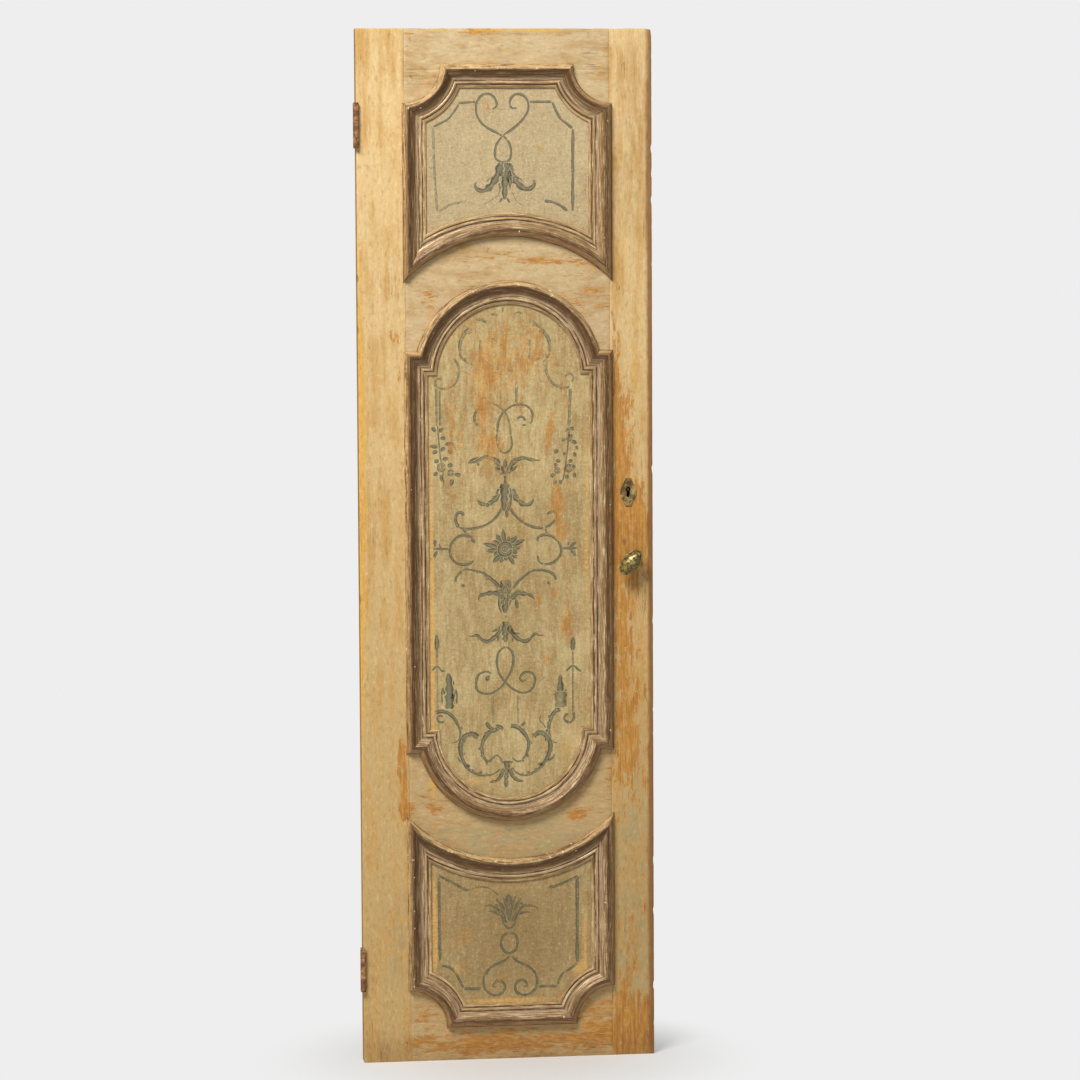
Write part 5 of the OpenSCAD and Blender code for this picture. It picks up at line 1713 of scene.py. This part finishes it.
@dataclass
class Mouldings:
    """The planted mouldings of the three frames."""

    plan: DoorPlan
    spacing: float = 3.0
    crest_wear: float = 0.9
    section: tuple[Point, ...] = (
        (0, 0), (0, 0.13), (0.035, 0.17), (0.05, 0.42), (0.09, 0.72), (0.14, 0.92),
        (0.21, 1.0), (0.29, 0.985), (0.36, 0.90), (0.42, 0.76), (0.47, 0.60), (0.53, 0.43),
        (0.56, 0.33), (0.61, 0.26), (0.66, 0.235), (0.70, 0.245), (0.715, 0.32),
        (0.755, 0.385), (0.80, 0.375), (0.835, 0.31), (0.86, 0.185), (0.885, 0.235),
        (0.985, 0.22), (1, 0.19), (1, 0),
    )

    def corner_side(self, d: float) -> Point:
        """Where the corner meets the side, a distance d in from the outer line."""
        p = self.plan
        return p.frame_lo + d, p.head_z - math.sqrt((p.corner_r + d) ** 2 - d * d)

    def corner_head(self, d: float) -> Point:
        """Where the corner meets the head."""
        p = self.plan
        return p.frame_lo + math.sqrt((p.corner_r + d) ** 2 - d * d), p.head_z - d

    def bow_side(self, d: float) -> Point:
        """Where the bow meets the side."""
        p = self.plan
        return (p.frame_lo + d,
                p.bow_z + math.sqrt((p.bow_r + d) ** 2 - (p.half_w - d) ** 2))

    def shoulder_side(self, d: float) -> Point:
        """Where a shoulder meets the side."""
        return self.plan.frame_lo + d, self.plan.shoulder_hi - d

    def shoulder_arch(self, d: float) -> Point:
        """Where a shoulder meets the end arc."""
        p = self.plan
        half = math.sqrt((p.arch_r - d) ** 2 - (p.shoulder_rise - d) ** 2)
        return p.axis - half, p.shoulder_hi - d

    def runs(self) -> list[tuple[Run, bool, str]]:
        """Lists the runs of the top frame and of the centre frame's upper end.

        Returns:
            Each run with whether it is mirrored to the lock side, and which frame's
            turned-over run it also stands for: "end", "centre" or "" for none.
        """
        p, w = self.plan, self.plan.mould_w

        def mitre(line: Callable[[float], Point], outwards: bool) -> Mitre:
            """The cut along one of the meeting lines."""
            return Mitre(line(0), line(w)) if outwards else Mitre(line(w), line(0))

        lock = 2 * p.axis

        def far(cut_line: Mitre) -> Mitre:
            """The same cut at the lock side."""
            return Mitre((lock - cut_line.end[0], cut_line.end[1]),
                         (lock - cut_line.start[0], cut_line.start[1]))

        head_cut = mitre(self.corner_head, False)
        bow_cut = mitre(self.bow_side, True)
        arch_cut = mitre(self.shoulder_arch, False)
        side_cut = mitre(self.shoulder_side, True)
        low_side = Mitre((side_cut.end[0], p.shoulder_lo + w), (side_cut.start[0], p.shoulder_lo))
        half = math.degrees(math.asin(p.half_w / p.bow_r))
        return [
            (Run("head", (head_cut, far(head_cut)), (p.frame_hi, p.head_z),
                 (p.frame_lo, p.head_z)), False, "end"),
            (Run("hinge_side_corner", (mitre(self.corner_side, False),
                                       mitre(self.corner_head, True)),
                 centre=(p.frame_lo, p.head_z), radius=p.corner_r, angles=(-105, 15)),
             True, "end"),
            (Run("hinge_side", (mitre(self.corner_side, True), mitre(self.bow_side, False)),
                 (p.frame_lo, p.head_z), (p.frame_lo, p.bow_z)), True, "end"),
            (Run("bow", (bow_cut, far(bow_cut)), centre=(p.axis, p.bow_z), radius=p.bow_r,
                 angles=(75 - half, 105 + half)), False, "end"),
            (Run("head", (arch_cut, far(arch_cut)), centre=(p.axis, p.arch_hi),
                 radius=p.arch_r, angles=(-15, 195), way=-1), False, "centre"),
            (Run("upper_hinge_side_shoulder", (mitre(self.shoulder_side, False),
                                               mitre(self.shoulder_arch, True)),
                 (p.axis, p.shoulder_hi), (p.frame_lo, p.shoulder_hi)), True, "centre"),
            (Run("hinge_side", (side_cut, low_side), (p.frame_lo, p.shoulder_hi),
                 (p.frame_lo, p.shoulder_lo)), True, ""),
        ]

    def profile(self) -> list[Point]:
        """The section in millimetres, its curves drawn finer, its creases kept.

        Returns:
            Points (across, height) from the outer foot over the crest to the inner foot.
        """
        scaled = [(a * self.plan.mould_w, h * self.plan.mould_h) for a, h in self.section]
        fine: list[Point] = [scaled[0], scaled[1]]
        fine += smooth_line(scaled[1:-1], 1.6)[1:]
        return [*fine, scaled[-1]]

    def sweep(self, run: Run) -> bmesh.types.BMesh:
        """Sweeps the section along a run and cuts its mitres.

        Args:
            run: The run.

        Returns:
            The closed mesh, whose layers hold the places across and along.
        """
        p = self.plan
        bm = bmesh.new()
        across = bm.verts.layers.float.new("across")
        if run.round:
            first, last = [math.radians(a) for a in run.angles]
            ray = Vector((math.cos(first), 0, math.sin(first)))
            base = p.place(run.centre[0], 0, run.centre[1])
            places = [base + (ray * (run.radius + run.way * a) + Vector((0, -h, 0))) * MM
                      for a, h in self.profile()]
        else:
            start, end = p.place(run.start[0], 0, run.start[1]), p.place(run.end[0], 0,
                                                                       run.end[1])
            way = (end - start).normalized()
            inward = Vector((-way.z, 0, way.x))
            places = [start + (inward * a + Vector((0, -h, 0))) * MM
                      for a, h in self.profile()]
        verts = [bm.verts.new(place) for place in places]
        for vert, (a, _) in zip(verts, self.profile()):
            vert[across] = a / p.mould_w
        edges = [bm.edges.new(pair) for pair in zip(verts, verts[1:] + verts[:1])]
        if run.round:
            sweep = last - first
            count = round(abs(sweep) * run.radius / self.spacing)
            bmesh.ops.spin(bm, geom=verts + edges, cent=base, axis=(0, -1, 0), angle=sweep,
                           steps=count, use_duplicate=False, use_merge=False)
        else:
            length = (end - start).length
            count = round(length / MM / self.spacing)
            for _ in range(count):
                grown = bmesh.ops.extrude_edge_only(bm, edges=edges)["geom"]
                moved = [v for v in grown if isinstance(v, bmesh.types.BMVert)]
                edges = [e for e in grown if isinstance(e, bmesh.types.BMEdge)]
                edges = [e for e in edges if all(v in moved for v in e.verts)]
                bmesh.ops.translate(bm, verts=moved, vec=way * (length / count))
        for line in run.mitres:
            a, b = p.place(line.start[0], 0, line.start[1]), p.place(line.end[0], 0,
                                                                    line.end[1])
            way = (b - a).normalized()
            cut(bm, a, Vector((-way.z, 0, way.x)), drop=True)
        bmesh.ops.holes_fill(bm, edges=[e for e in bm.edges if e.is_boundary], sides=0)
        bmesh.ops.recalc_face_normals(bm, faces=bm.faces)
        return bm

    def along(self, run: Run, place: Vector) -> tuple[float, float]:
        """Where a point lies on a run.

        Args:
            run: The run.
            place: The point, in the shared frame.

        Returns:
            The share of the width that it lies across, and the metres along.
        """
        p = self.plan
        x, _, z = (place - p.origin) / MM
        if run.round:
            dx, dz = x - run.centre[0], z - run.centre[1]
            reach = math.hypot(dx, dz)
            share = run.way * (reach - run.radius) / p.mould_w
            return share, math.atan2(dz, dx) * run.radius * MM
        way = Vector((run.end[0] - run.start[0], run.end[1] - run.start[1])).normalized()
        off = Vector((x - run.start[0], z - run.start[1]))
        return (way.x * off.y - way.y * off.x) / p.mould_w, off.dot(way) * MM

    def wear_crest(self, bm: bmesh.types.BMesh) -> None:
        """Rubs the crests down unevenly and knocks a few chips out of them.

        Args:
            bm: The mesh of a run, in its final place.
        """
        p = self.plan
        chip = bm.verts.layers.float.new("chip")
        for v in bm.verts:
            height = (p.origin.y - v.co.y) / MM
            if height < 0.5:
                continue
            share = height / p.mould_h
            x, _, z = (v.co - p.origin) / MM
            rub = noise.fractal(Vector((x / 22, z / 22, 1.5)), 0.8, 2.0, 3)
            nick = noise.noise(Vector((x / 9, z / 9, 5.0))) + 0.4 * noise.noise(
                Vector((x / 3.5, z / 3.5, 9.0)))
            lost = self.crest_wear * max(0.0, rub) * share
            knocked = max(0.0, nick - 0.62) * 3.2 * share
            v.co.y += (lost + knocked) * MM
            drift = noise.noise_vector(Vector((x / 14, z / 14, 2.0)))
            v.co.x += 0.28 * share * drift.x * MM
            v.co.z += 0.28 * share * drift.z * MM
            v[chip] = min(1.0, knocked * 1.6)

    def build(self) -> None:
        """Builds every run of the three frames."""
        p = self.plan
        gilt = SilverGilt().material()
        lock = Matrix.Translation((2 * p.place(p.axis, 0, 0).x, 0, 0)) @ Matrix.Diagonal(
            (-1, 1, 1, 1))
        turns = {"end": p.place(0, 0, p.head_z).z + p.place(0, 0, p.foot_z).z,
                 "centre": p.place(0, 0, p.shoulder_hi).z + p.place(0, 0, p.shoulder_lo).z}
        number = 0
        for run, both_sides, turned in self.runs():
            frame_name = "centre" if run.way < 0 or "shoulder" in run.node or not turned else "top"
            for side in ((False, True) if both_sides else (False,)):
                for low in ((False, True) if turned else (False,)):
                    number += 1
                    place = Matrix.Identity(4)
                    name = f"{frame_name}_moulding_{run.node}"
                    if side:
                        place = lock @ place
                        name = name.replace("hinge_side", "lock_side")
                    if low:
                        flip = Matrix.Diagonal((1, 1, -1, 1))
                        place = Matrix.Translation((0, 0, turns[turned])) @ flip @ place
                        name = name.replace("top_", "bottom_", 1).replace("upper", "lower")
                        name = name.replace("_head", "_foot")
                    self.piece(run, name, place, number, gilt)

    def piece(self, run: Run, node: str, place: Matrix, number: int,
              gilt: bpy.types.Material) -> None:
        """Makes one run of moulding at its place.

        Args:
            run: The run as drawn for the upper hinge side.
            node: The construction node that it stands for.
            place: The mirroring that brings it there.
            number: A number of its own, which sets its pattern.
            gilt: Its material.
        """
        bm = self.sweep(run)
        across = bm.verts.layers.float["across"]
        along = bm.verts.layers.float.new("along")
        piece_no = bm.verts.layers.float.new("piece")
        lit_side = bm.verts.layers.float.new("lit_side")
        high = bm.verts.layers.float.new("high")
        for v in bm.verts:
            v[across], v[along] = self.along(run, v.co)
            v[piece_no] = number * 0.37
        bmesh.ops.transform(bm, matrix=place, verts=bm.verts)
        bmesh.ops.recalc_face_normals(bm, faces=bm.faces)
        p = self.plan
        middle_z, half_h = {"top": (1815, 214), "bottom": (262, 194)}.get(
            node.split("_")[0], ((p.shoulder_hi + p.shoulder_lo) / 2, 551))
        for v in bm.verts:
            x, _, z = (v.co - p.origin) / MM
            # How far the piece lies to the upper left, towards the light: this sets the painted
            # highlight on its outer slope and the painted shade on its inner slope.
            lean = (p.axis - x) / p.half_w * 0.6 + (z - middle_z) / half_h * 0.9
            v[lit_side] = min(1.0, max(0.12, 0.4 + lean))
            # How high and how near the middle the piece sits: this sets the painted shade under the
            # crests of the upper pieces.
            inward = min(1.0, max(0.0, (1.0 - abs(p.axis - x) / p.half_w) * 5))
            v[high] = max(0.0, (z - middle_z) / half_h) * inward
        self.wear_crest(bm)
        finish_piece("gilt_" + node, bm, "door", "gilt_moulding", [gilt], [node], 38)


# ---------------------------------------------------------------- hardware


def merged_copy(nodes: dict[str, bpy.types.Object], node: str) -> bmesh.types.BMesh:
    """A copy of a construction node's mesh with its doubled points and flat cuts merged.

    Args:
        nodes: The construction model's objects by node name.
        node: The node.

    Returns:
        The mesh, in the shared frame.
    """
    bm = bmesh.new()
    bm.from_mesh(nodes[node].data)
    bmesh.ops.transform(bm, matrix=nodes[node].matrix_world, verts=bm.verts)
    bmesh.ops.remove_doubles(bm, verts=bm.verts, dist=0.004 * MM)
    bmesh.ops.dissolve_limit(bm, angle_limit=math.radians(1.2), verts=bm.verts,
                             edges=bm.edges)
    return bm


def roughen(bm: bmesh.types.BMesh, depth: float, size: float) -> None:
    """Moves a mesh's points a little along their normals.

    Args:
        bm: The mesh.
        depth: Greatest move in metres.
        size: Size of the lumps in metres.
    """
    bm.normal_update()
    for v in bm.verts:
        v.co += v.normal * depth * (noise.fractal(v.co / size, 0.9, 2.0, 3) - 0.2)


@dataclass
class Metalware:
    """Hinges, lock and small fixings."""

    plan: DoorPlan
    nodes: dict[str, bpy.types.Object]
    bodies: dict[str, str]

    def finishes(self) -> dict[str, bpy.types.Material]:
        """Makes the metal finishes.

        Returns:
            The materials by slot, with a few of their own.
        """
        return {
            "rusty_iron": OldMetal("rusty_iron", (208, 170, 124), (160, 112, 68), (102, 66, 36),
                                   0.15, 0.6, 0.010, 0.3).material(),
            "dark_iron": OldMetal("dark_iron", (120, 104, 92), (72, 54, 42), (34, 24, 18),
                                  0.6, 0.55).material(),
            "aged_brass": OldMetal("aged_brass", (212, 192, 138), (166, 142, 88),
                                   (96, 74, 38), 0.6, 0.42, 0.012, 0.07).material(),
            "key_pin": OldMetal("key_pin", (176, 140, 122), (132, 96, 76), (60, 38, 26),
                                0.5, 0.5).material(),
            "bare_wood": BareWood().material(),
        }

    def soft_piece(self, node: str, slot: str, material: bpy.types.Material,
                   width: float, dents: float = 0.0) -> None:
        """Replaces a node by a copy of itself with rounded edges.

        Args:
            node: The node.
            slot: Its material slot.
            material: Its material.
            width: Width of the rounding in millimetres.
            dents: Depth of its dents in millimetres.
        """
        bm = merged_copy(self.nodes, node)
        soften(bm, width * MM, 2, 40)
        if dents:
            bmesh.ops.triangulate(bm, faces=bm.faces)
            long_edges = [e for e in bm.edges if e.calc_length() > 6 * MM]
            bmesh.ops.subdivide_edges(bm, edges=long_edges, cuts=3, use_grid_fill=True)
            roughen(bm, dents * MM, 5 * MM)
        finish_piece("metal_" + node, bm, self.bodies[node], slot, [material], [node], 30)

    def build(self) -> None:
        """Softens and finishes every metal node but the knob."""
        looks = self.finishes()
        for node, slot, width, dents in (
            ("upper_door_leaf", "rusty_iron", 0.4, 0.10),
            ("upper_jamb_leaf", "rusty_iron", 0.4, 0.10),
            ("upper_hinge_pin", "rusty_iron", 0.5, 0.10),
            ("lower_door_leaf", "rusty_iron", 0.4, 0.10),
            ("lower_jamb_leaf", "rusty_iron", 0.4, 0.10),
            ("lower_hinge_pin", "rusty_iron", 0.5, 0.10),
            ("hinge_screws", "dark_iron", 0.25, 0.0),
            ("escutcheon", "aged_brass", 0.4, 0.05),
            ("escutcheon_pins", "aged_brass", 0.25, 0.0),
            ("lock_case", "dark_iron", 0.8, 0.0),
            ("lock_cap", "dark_iron", 0.5, 0.0),
            ("dead_bolt", "dark_iron", 0.5, 0.0),
            ("bolt_spring", "dark_iron", 0.15, 0.0),
            ("bolt_guide", "dark_iron", 0.3, 0.0),
            ("lock_screws", "dark_iron", 0.25, 0.0),
            ("knob_spindle", "dark_iron", 0.4, 0.0),
            ("catch_bar", "rusty_iron", 0.8, 0.0),
            ("spindle_washer", "dark_iron", 0.2, 0.0),
        ):
            self.soft_piece(node, slot, looks[slot], width, dents)
        self.soft_piece("key_pin", "dark_iron", looks["key_pin"], 0.7)
        for node, slot in (("moulding_brads", "rusty_iron"), ("joint_pegs", "bare_wood")):
            self.nodes[node].data.materials.clear()
            self.nodes[node].data.materials.append(looks[slot])


@dataclass
class Knob:
    """The oval brass knob with its beaded rim, on a round neck."""

    plan: DoorPlan
    half_long: float = 30.0
    half_short: float = 18.5
    end_r: float = 13.0
    tilt: float = 50.0
    proud: float = 47.0
    rim_y: float = 36.0
    back_y: float = 24.0
    neck_r: float = 7.5
    foot_r: float = 10.0
    bead_pitch: float = 3.3
    bead_r: float = 1.25

    def outline(self, inset: float) -> list[Point]:
        """Four arcs that make the oval, drawn in by an inset.

        Args:
            inset: How far in from the rim, in millimetres.

        Returns:
            Points round the oval at even steps.
        """
        a, b, small = self.half_long, self.half_short, self.end_r
        reach = a - small
        large = (reach**2 + b**2 - small**2) / (2 * (b - small))
        spread = math.degrees(math.asin(reach / (large - small)))
        small, large = max(0.05, small - inset), max(0.05, large - inset)
        offset = (large + inset) - b
        points: list[Point] = []
        points += arc(0, -offset, large, 90 + spread, 90 - spread, 22)[:-1]
        points += arc(reach, 0, small, 90 - spread, spread - 90, 18)[:-1]
        points += arc(0, offset, large, spread - 90, -90 - spread, 22)[:-1]
        points += arc(-reach, 0, small, 270 - spread, 90 + spread, 18)[:-1]
        return points

    def body(self, place: Matrix) -> bmesh.types.BMesh:
        """The head, from its drawn-in back to its crown, in one closed mesh.

        Args:
            place: Brings the knob from its own axes to the shared frame.

        Returns:
            The mesh.
        """
        bm = bmesh.new()
        rim, proud, back = self.rim_y, self.proud, self.back_y
        rings = [
            (6.5, back - 0.6), (3.4, back + 1.0), (0.9, back + 5.2), (0.15, back + 8.6),
            (0.0, rim - 1.4), (0.25, rim - 0.2), (0.9, rim + 0.5), (1.7, rim + 0.7),
            (2.6, rim + 0.35), (3.5, rim + 0.5), (4.2, rim + 1.4), (5.4, rim + 3.6),
            (7.2, rim + 6.0), (9.4, rim + 8.0), (11.6, rim + 9.4),
        ]
        crown = [(0.74, rim + 10.2), (0.48, rim + 10.7), (0.24, proud - 0.1), (0.08, proud)]
        loops: list[list[bmesh.types.BMEdge]] = []
        for inset, y, drawn in [(*ring, 1.0) for ring in rings] + [
                (rings[-1][0], y, drawn) for drawn, y in crown]:
            verts = [bm.verts.new((x * drawn * MM, -y * MM, z * drawn * MM))
                     for x, z in self.outline(inset)]
            loops.append([bm.edges.new(pair) for pair in zip(verts, verts[1:] + verts[:1])])
        for low, high in zip(loops, loops[1:]):
            bmesh.ops.bridge_loops(bm, edges=low + high)
        bmesh.ops.holes_fill(bm, edges=loops[0] + loops[-1], sides=0)
        bmesh.ops.recalc_face_normals(bm, faces=bm.faces)
        soft = [v for v in bm.verts if -v.co.y > (rim + 1.2) * MM]
        for _ in range(4):
            bmesh.ops.smooth_vert(bm, verts=soft, factor=0.4, use_axis_y=True)
        bmesh.ops.transform(bm, matrix=place, verts=bm.verts)
        return bm

    def neck(self, place: Matrix) -> bmesh.types.BMesh:
        """The turned neck between the stile and the head.

        Args:
            place: Brings the knob from its own axes to the shared frame.

        Returns:
            The mesh.
        """
        bm = bmesh.new()
        profile = [(0.0, 0.4), (self.foot_r - 1.2, 0.4), (self.foot_r, 1.0),
                   (self.foot_r, 2.4), (self.foot_r - 1.4, 3.4), (self.neck_r, 5.0),
                   (self.neck_r - 0.4, 9.0), (self.neck_r, 15.0), (self.neck_r + 2.0, 20.0),
                   (self.neck_r + 5.0, self.back_y + 0.2), (0.0, self.back_y + 0.4)]
        verts = [bm.verts.new((r * MM, -y * MM, 0)) for r, y in profile]
        edges = [bm.edges.new(pair) for pair in zip(verts, verts[1:])]
        bmesh.ops.spin(bm, geom=verts + edges, cent=(0, 0, 0), axis=(0, 1, 0),
                       angle=2 * math.pi, steps=40, use_merge=True, use_duplicate=False)
        bmesh.ops.remove_doubles(bm, verts=bm.verts, dist=0.01 * MM)
        bmesh.ops.recalc_face_normals(bm, faces=bm.faces)
        bmesh.ops.transform(bm, matrix=place, verts=bm.verts)
        return bm

    def beads(self, place: Matrix) -> bmesh.types.BMesh:
        """The row of beads round the rim.

        Args:
            place: Brings the knob from its own axes to the shared frame.

        Returns:
            The mesh.
        """
        bm = bmesh.new()
        line = self.outline(1.75)
        line.append(line[0])
        length = sum(math.dist(a, b) for a, b in zip(line, line[1:]))
        count = round(length / self.bead_pitch)
        gone, walked, pitch = 0.0, 0, length / count
        for a, b in zip(line, line[1:]):
            span = math.dist(a, b)
            while walked < count and walked * pitch <= gone + span:
                t = (walked * pitch - gone) / span
                x, z = a[0] + (b[0] - a[0]) * t, a[1] + (b[1] - a[1]) * t
                spot = Matrix.Translation((x * MM, -(self.rim_y + 0.55) * MM, z * MM))
                bmesh.ops.create_icosphere(bm, subdivisions=1, radius=self.bead_r * MM,
                                           matrix=place @ spot)
                walked += 1
            gone += span
        return bm

    def build(self) -> None:
        """Builds the knob at its place, tilted as it stands."""
        low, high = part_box("knob_spindle")
        middle = (low + high) / 2
        front = Vector((middle.x, self.plan.origin.y, middle.z))
        place = Matrix.Translation(front) @ Matrix.Rotation(math.radians(-self.tilt), 4, "Y")
        shell = OldMetal("knob_brass", (206, 196, 150), (150, 132, 62), (84, 62, 22), 0.75,
                         0.30, 0.006, 0.10).material()
        rim = OldMetal("knob_rim", (196, 188, 160), (150, 140, 108), (78, 64, 38), 0.7,
                       0.34, 0.004, 0.08).material()
        finish_piece("knob_head", self.body(place), "knob", "aged_brass", [shell], ["knob"],
                     34)
        finish_piece("knob_neck", self.neck(place), "knob", "aged_brass", [shell], (), 34)
        finish_piece("knob_beads", self.beads(place), "knob", "aged_brass", [rim], (), 80)


# ---------------------------------------------------------------- light and camera


@dataclass(frozen=True)
class Studio:
    """A pale room with one large light high on the left."""

    plan: DoorPlan
    eye: tuple[float, float, float] = (-680.99, -8042.63, 1718.61)
    pan: float = -0.12966283
    pitch: float = -0.08023852
    roll: float = 0.0052635
    lens: float = 133.33
    backdrop: Colour = (238, 238, 238)
    fill: float = 0.16
    key_power: float = 318.0
    key_size: float = 1.9
    key_place: tuple[float, float, float] = (-2.1, -3.4, 5.0)
    key_colour: tuple[float, float, float] = (1.0, 0.985, 0.955)
    near: float = 0.10
    far: float = 0.55

    def world(self) -> None:
        """Lights the room evenly, and shows the backdrop behind the door."""
        world = bpy.data.worlds.new("room")
        bpy.context.scene.world = world
        world.use_nodes = True
        nodes, links = world.node_tree.nodes, world.node_tree.links
        nodes.clear()
        path = nodes.new("ShaderNodeLightPath")
        seen = nodes.new("ShaderNodeBackground")
        seen.inputs["Color"].default_value = paint(*self.backdrop)
        seen.inputs["Strength"].default_value = 1.0
        camera_or_gloss = nodes.new("ShaderNodeMath")
        camera_or_gloss.operation = "MAXIMUM"
        any_seen = nodes.new("ShaderNodeMath")
        any_seen.operation = "MAXIMUM"
        even = nodes.new("ShaderNodeBackground")
        even.inputs["Color"].default_value = (1.0, 0.99, 0.97, 1.0)
        even.inputs["Strength"].default_value = self.fill
        choose = nodes.new("ShaderNodeMixShader")
        end = nodes.new("ShaderNodeOutputWorld")
        links.new(path.outputs["Is Camera Ray"], camera_or_gloss.inputs[0])
        links.new(path.outputs["Is Glossy Ray"], camera_or_gloss.inputs[1])
        links.new(camera_or_gloss.outputs[0], any_seen.inputs[0])
        links.new(path.outputs["Is Transmission Ray"], any_seen.inputs[1])
        links.new(any_seen.outputs[0], choose.inputs[0])
        links.new(even.outputs[0], choose.inputs[1])
        links.new(seen.outputs[0], choose.inputs[2])
        links.new(choose.outputs[0], end.inputs["Surface"])

    def key(self) -> None:
        """Hangs the large light."""
        light = bpy.data.lights.new("key", "AREA")
        light.shape = "SQUARE"
        light.size = self.key_size
        light.energy = self.key_power
        light.color = self.key_colour
        lamp = hang("key", light)
        place = Vector(self.key_place)
        aim = Vector((0, 0, self.plan.leaf_h * MM / 2))
        lamp.matrix_world = (Matrix.Translation(place)
                             @ (aim - place).to_track_quat("-Z", "Y").to_matrix().to_4x4())

    def floor(self) -> None:
        """Lays a floor that takes the door's shadow and fades into the backdrop."""
        bm = bmesh.new()
        bmesh.ops.create_grid(bm, x_segments=8, y_segments=8, size=60)
        mesh = bpy.data.meshes.new("floor")
        bm.to_mesh(mesh)
        bm.free()
        g = Graph("floor")
        path = g.add("ShaderNodeLightPath")
        reach = g.add("ShaderNodeVectorMath", operation="LENGTH")
        g.feed(reach.inputs[0], g.space)
        fade = g.step(reach.outputs["Value"], self.near, self.far)
        soft = g.add("ShaderNodeBsdfDiffuse")
        soft.inputs["Color"].default_value = paint(*self.backdrop)
        glow = g.add("ShaderNodeEmission")
        glow.inputs["Color"].default_value = paint(*self.backdrop)
        glow.inputs["Strength"].default_value = 1.0
        blend = g.add("ShaderNodeMixShader")
        g.feed(blend.inputs[0], g.math("MULTIPLY", fade, path.outputs["Is Camera Ray"]))
        g.links.new(soft.outputs[0], blend.inputs[1])
        g.links.new(glow.outputs[0], blend.inputs[2])
        end = g.add("ShaderNodeOutputMaterial")
        g.links.new(blend.outputs[0], end.inputs["Surface"])
        mesh.materials.append(g.material)
        floor = hang("floor", mesh)

    def camera(self) -> None:
        """Stands the camera before the door, a little to the left of it."""
        data = bpy.data.cameras.new("camera")
        data.lens = self.lens
        data.sensor_width = 36.0
        camera = hang("camera", data)
        turn = (Matrix.Rotation(self.pan, 4, "Z") @ Matrix.Rotation(self.pitch, 4, "X")
                @ Matrix.Rotation(self.roll, 4, "Y") @ Matrix.Rotation(math.pi / 2, 4, "X"))
        camera.matrix_world = Matrix.Translation(self.plan.place(*self.eye)) @ turn
        bpy.context.scene.camera = camera

    def build(self) -> None:
        """Sets the room, the light, the floor and the camera."""
        self.world()
        self.key()
        self.floor()
        self.camera()
        bpy.context.scene.view_settings.view_transform = "Standard"


def main() -> None:
    """Builds the door's looks and the room round them."""
    logging.basicConfig(level=logging.INFO, format="%(name)s: %(message)s")
    plan = DoorPlan.from_frame()
    wear = Wear(plan)
    bodies = {node: body for body, nodes in frame["record"]["behaviour"]["bodies"].items()
              for node in nodes}
    Leaf(plan, wear).build()
    Ornament(plan, wear).build()
    Mouldings(plan).build()
    Metalware(plan, frame["nodes"], bodies).build()
    Knob(plan).build()
    Studio(plan).build()


if __name__ == "__main__":
    main()
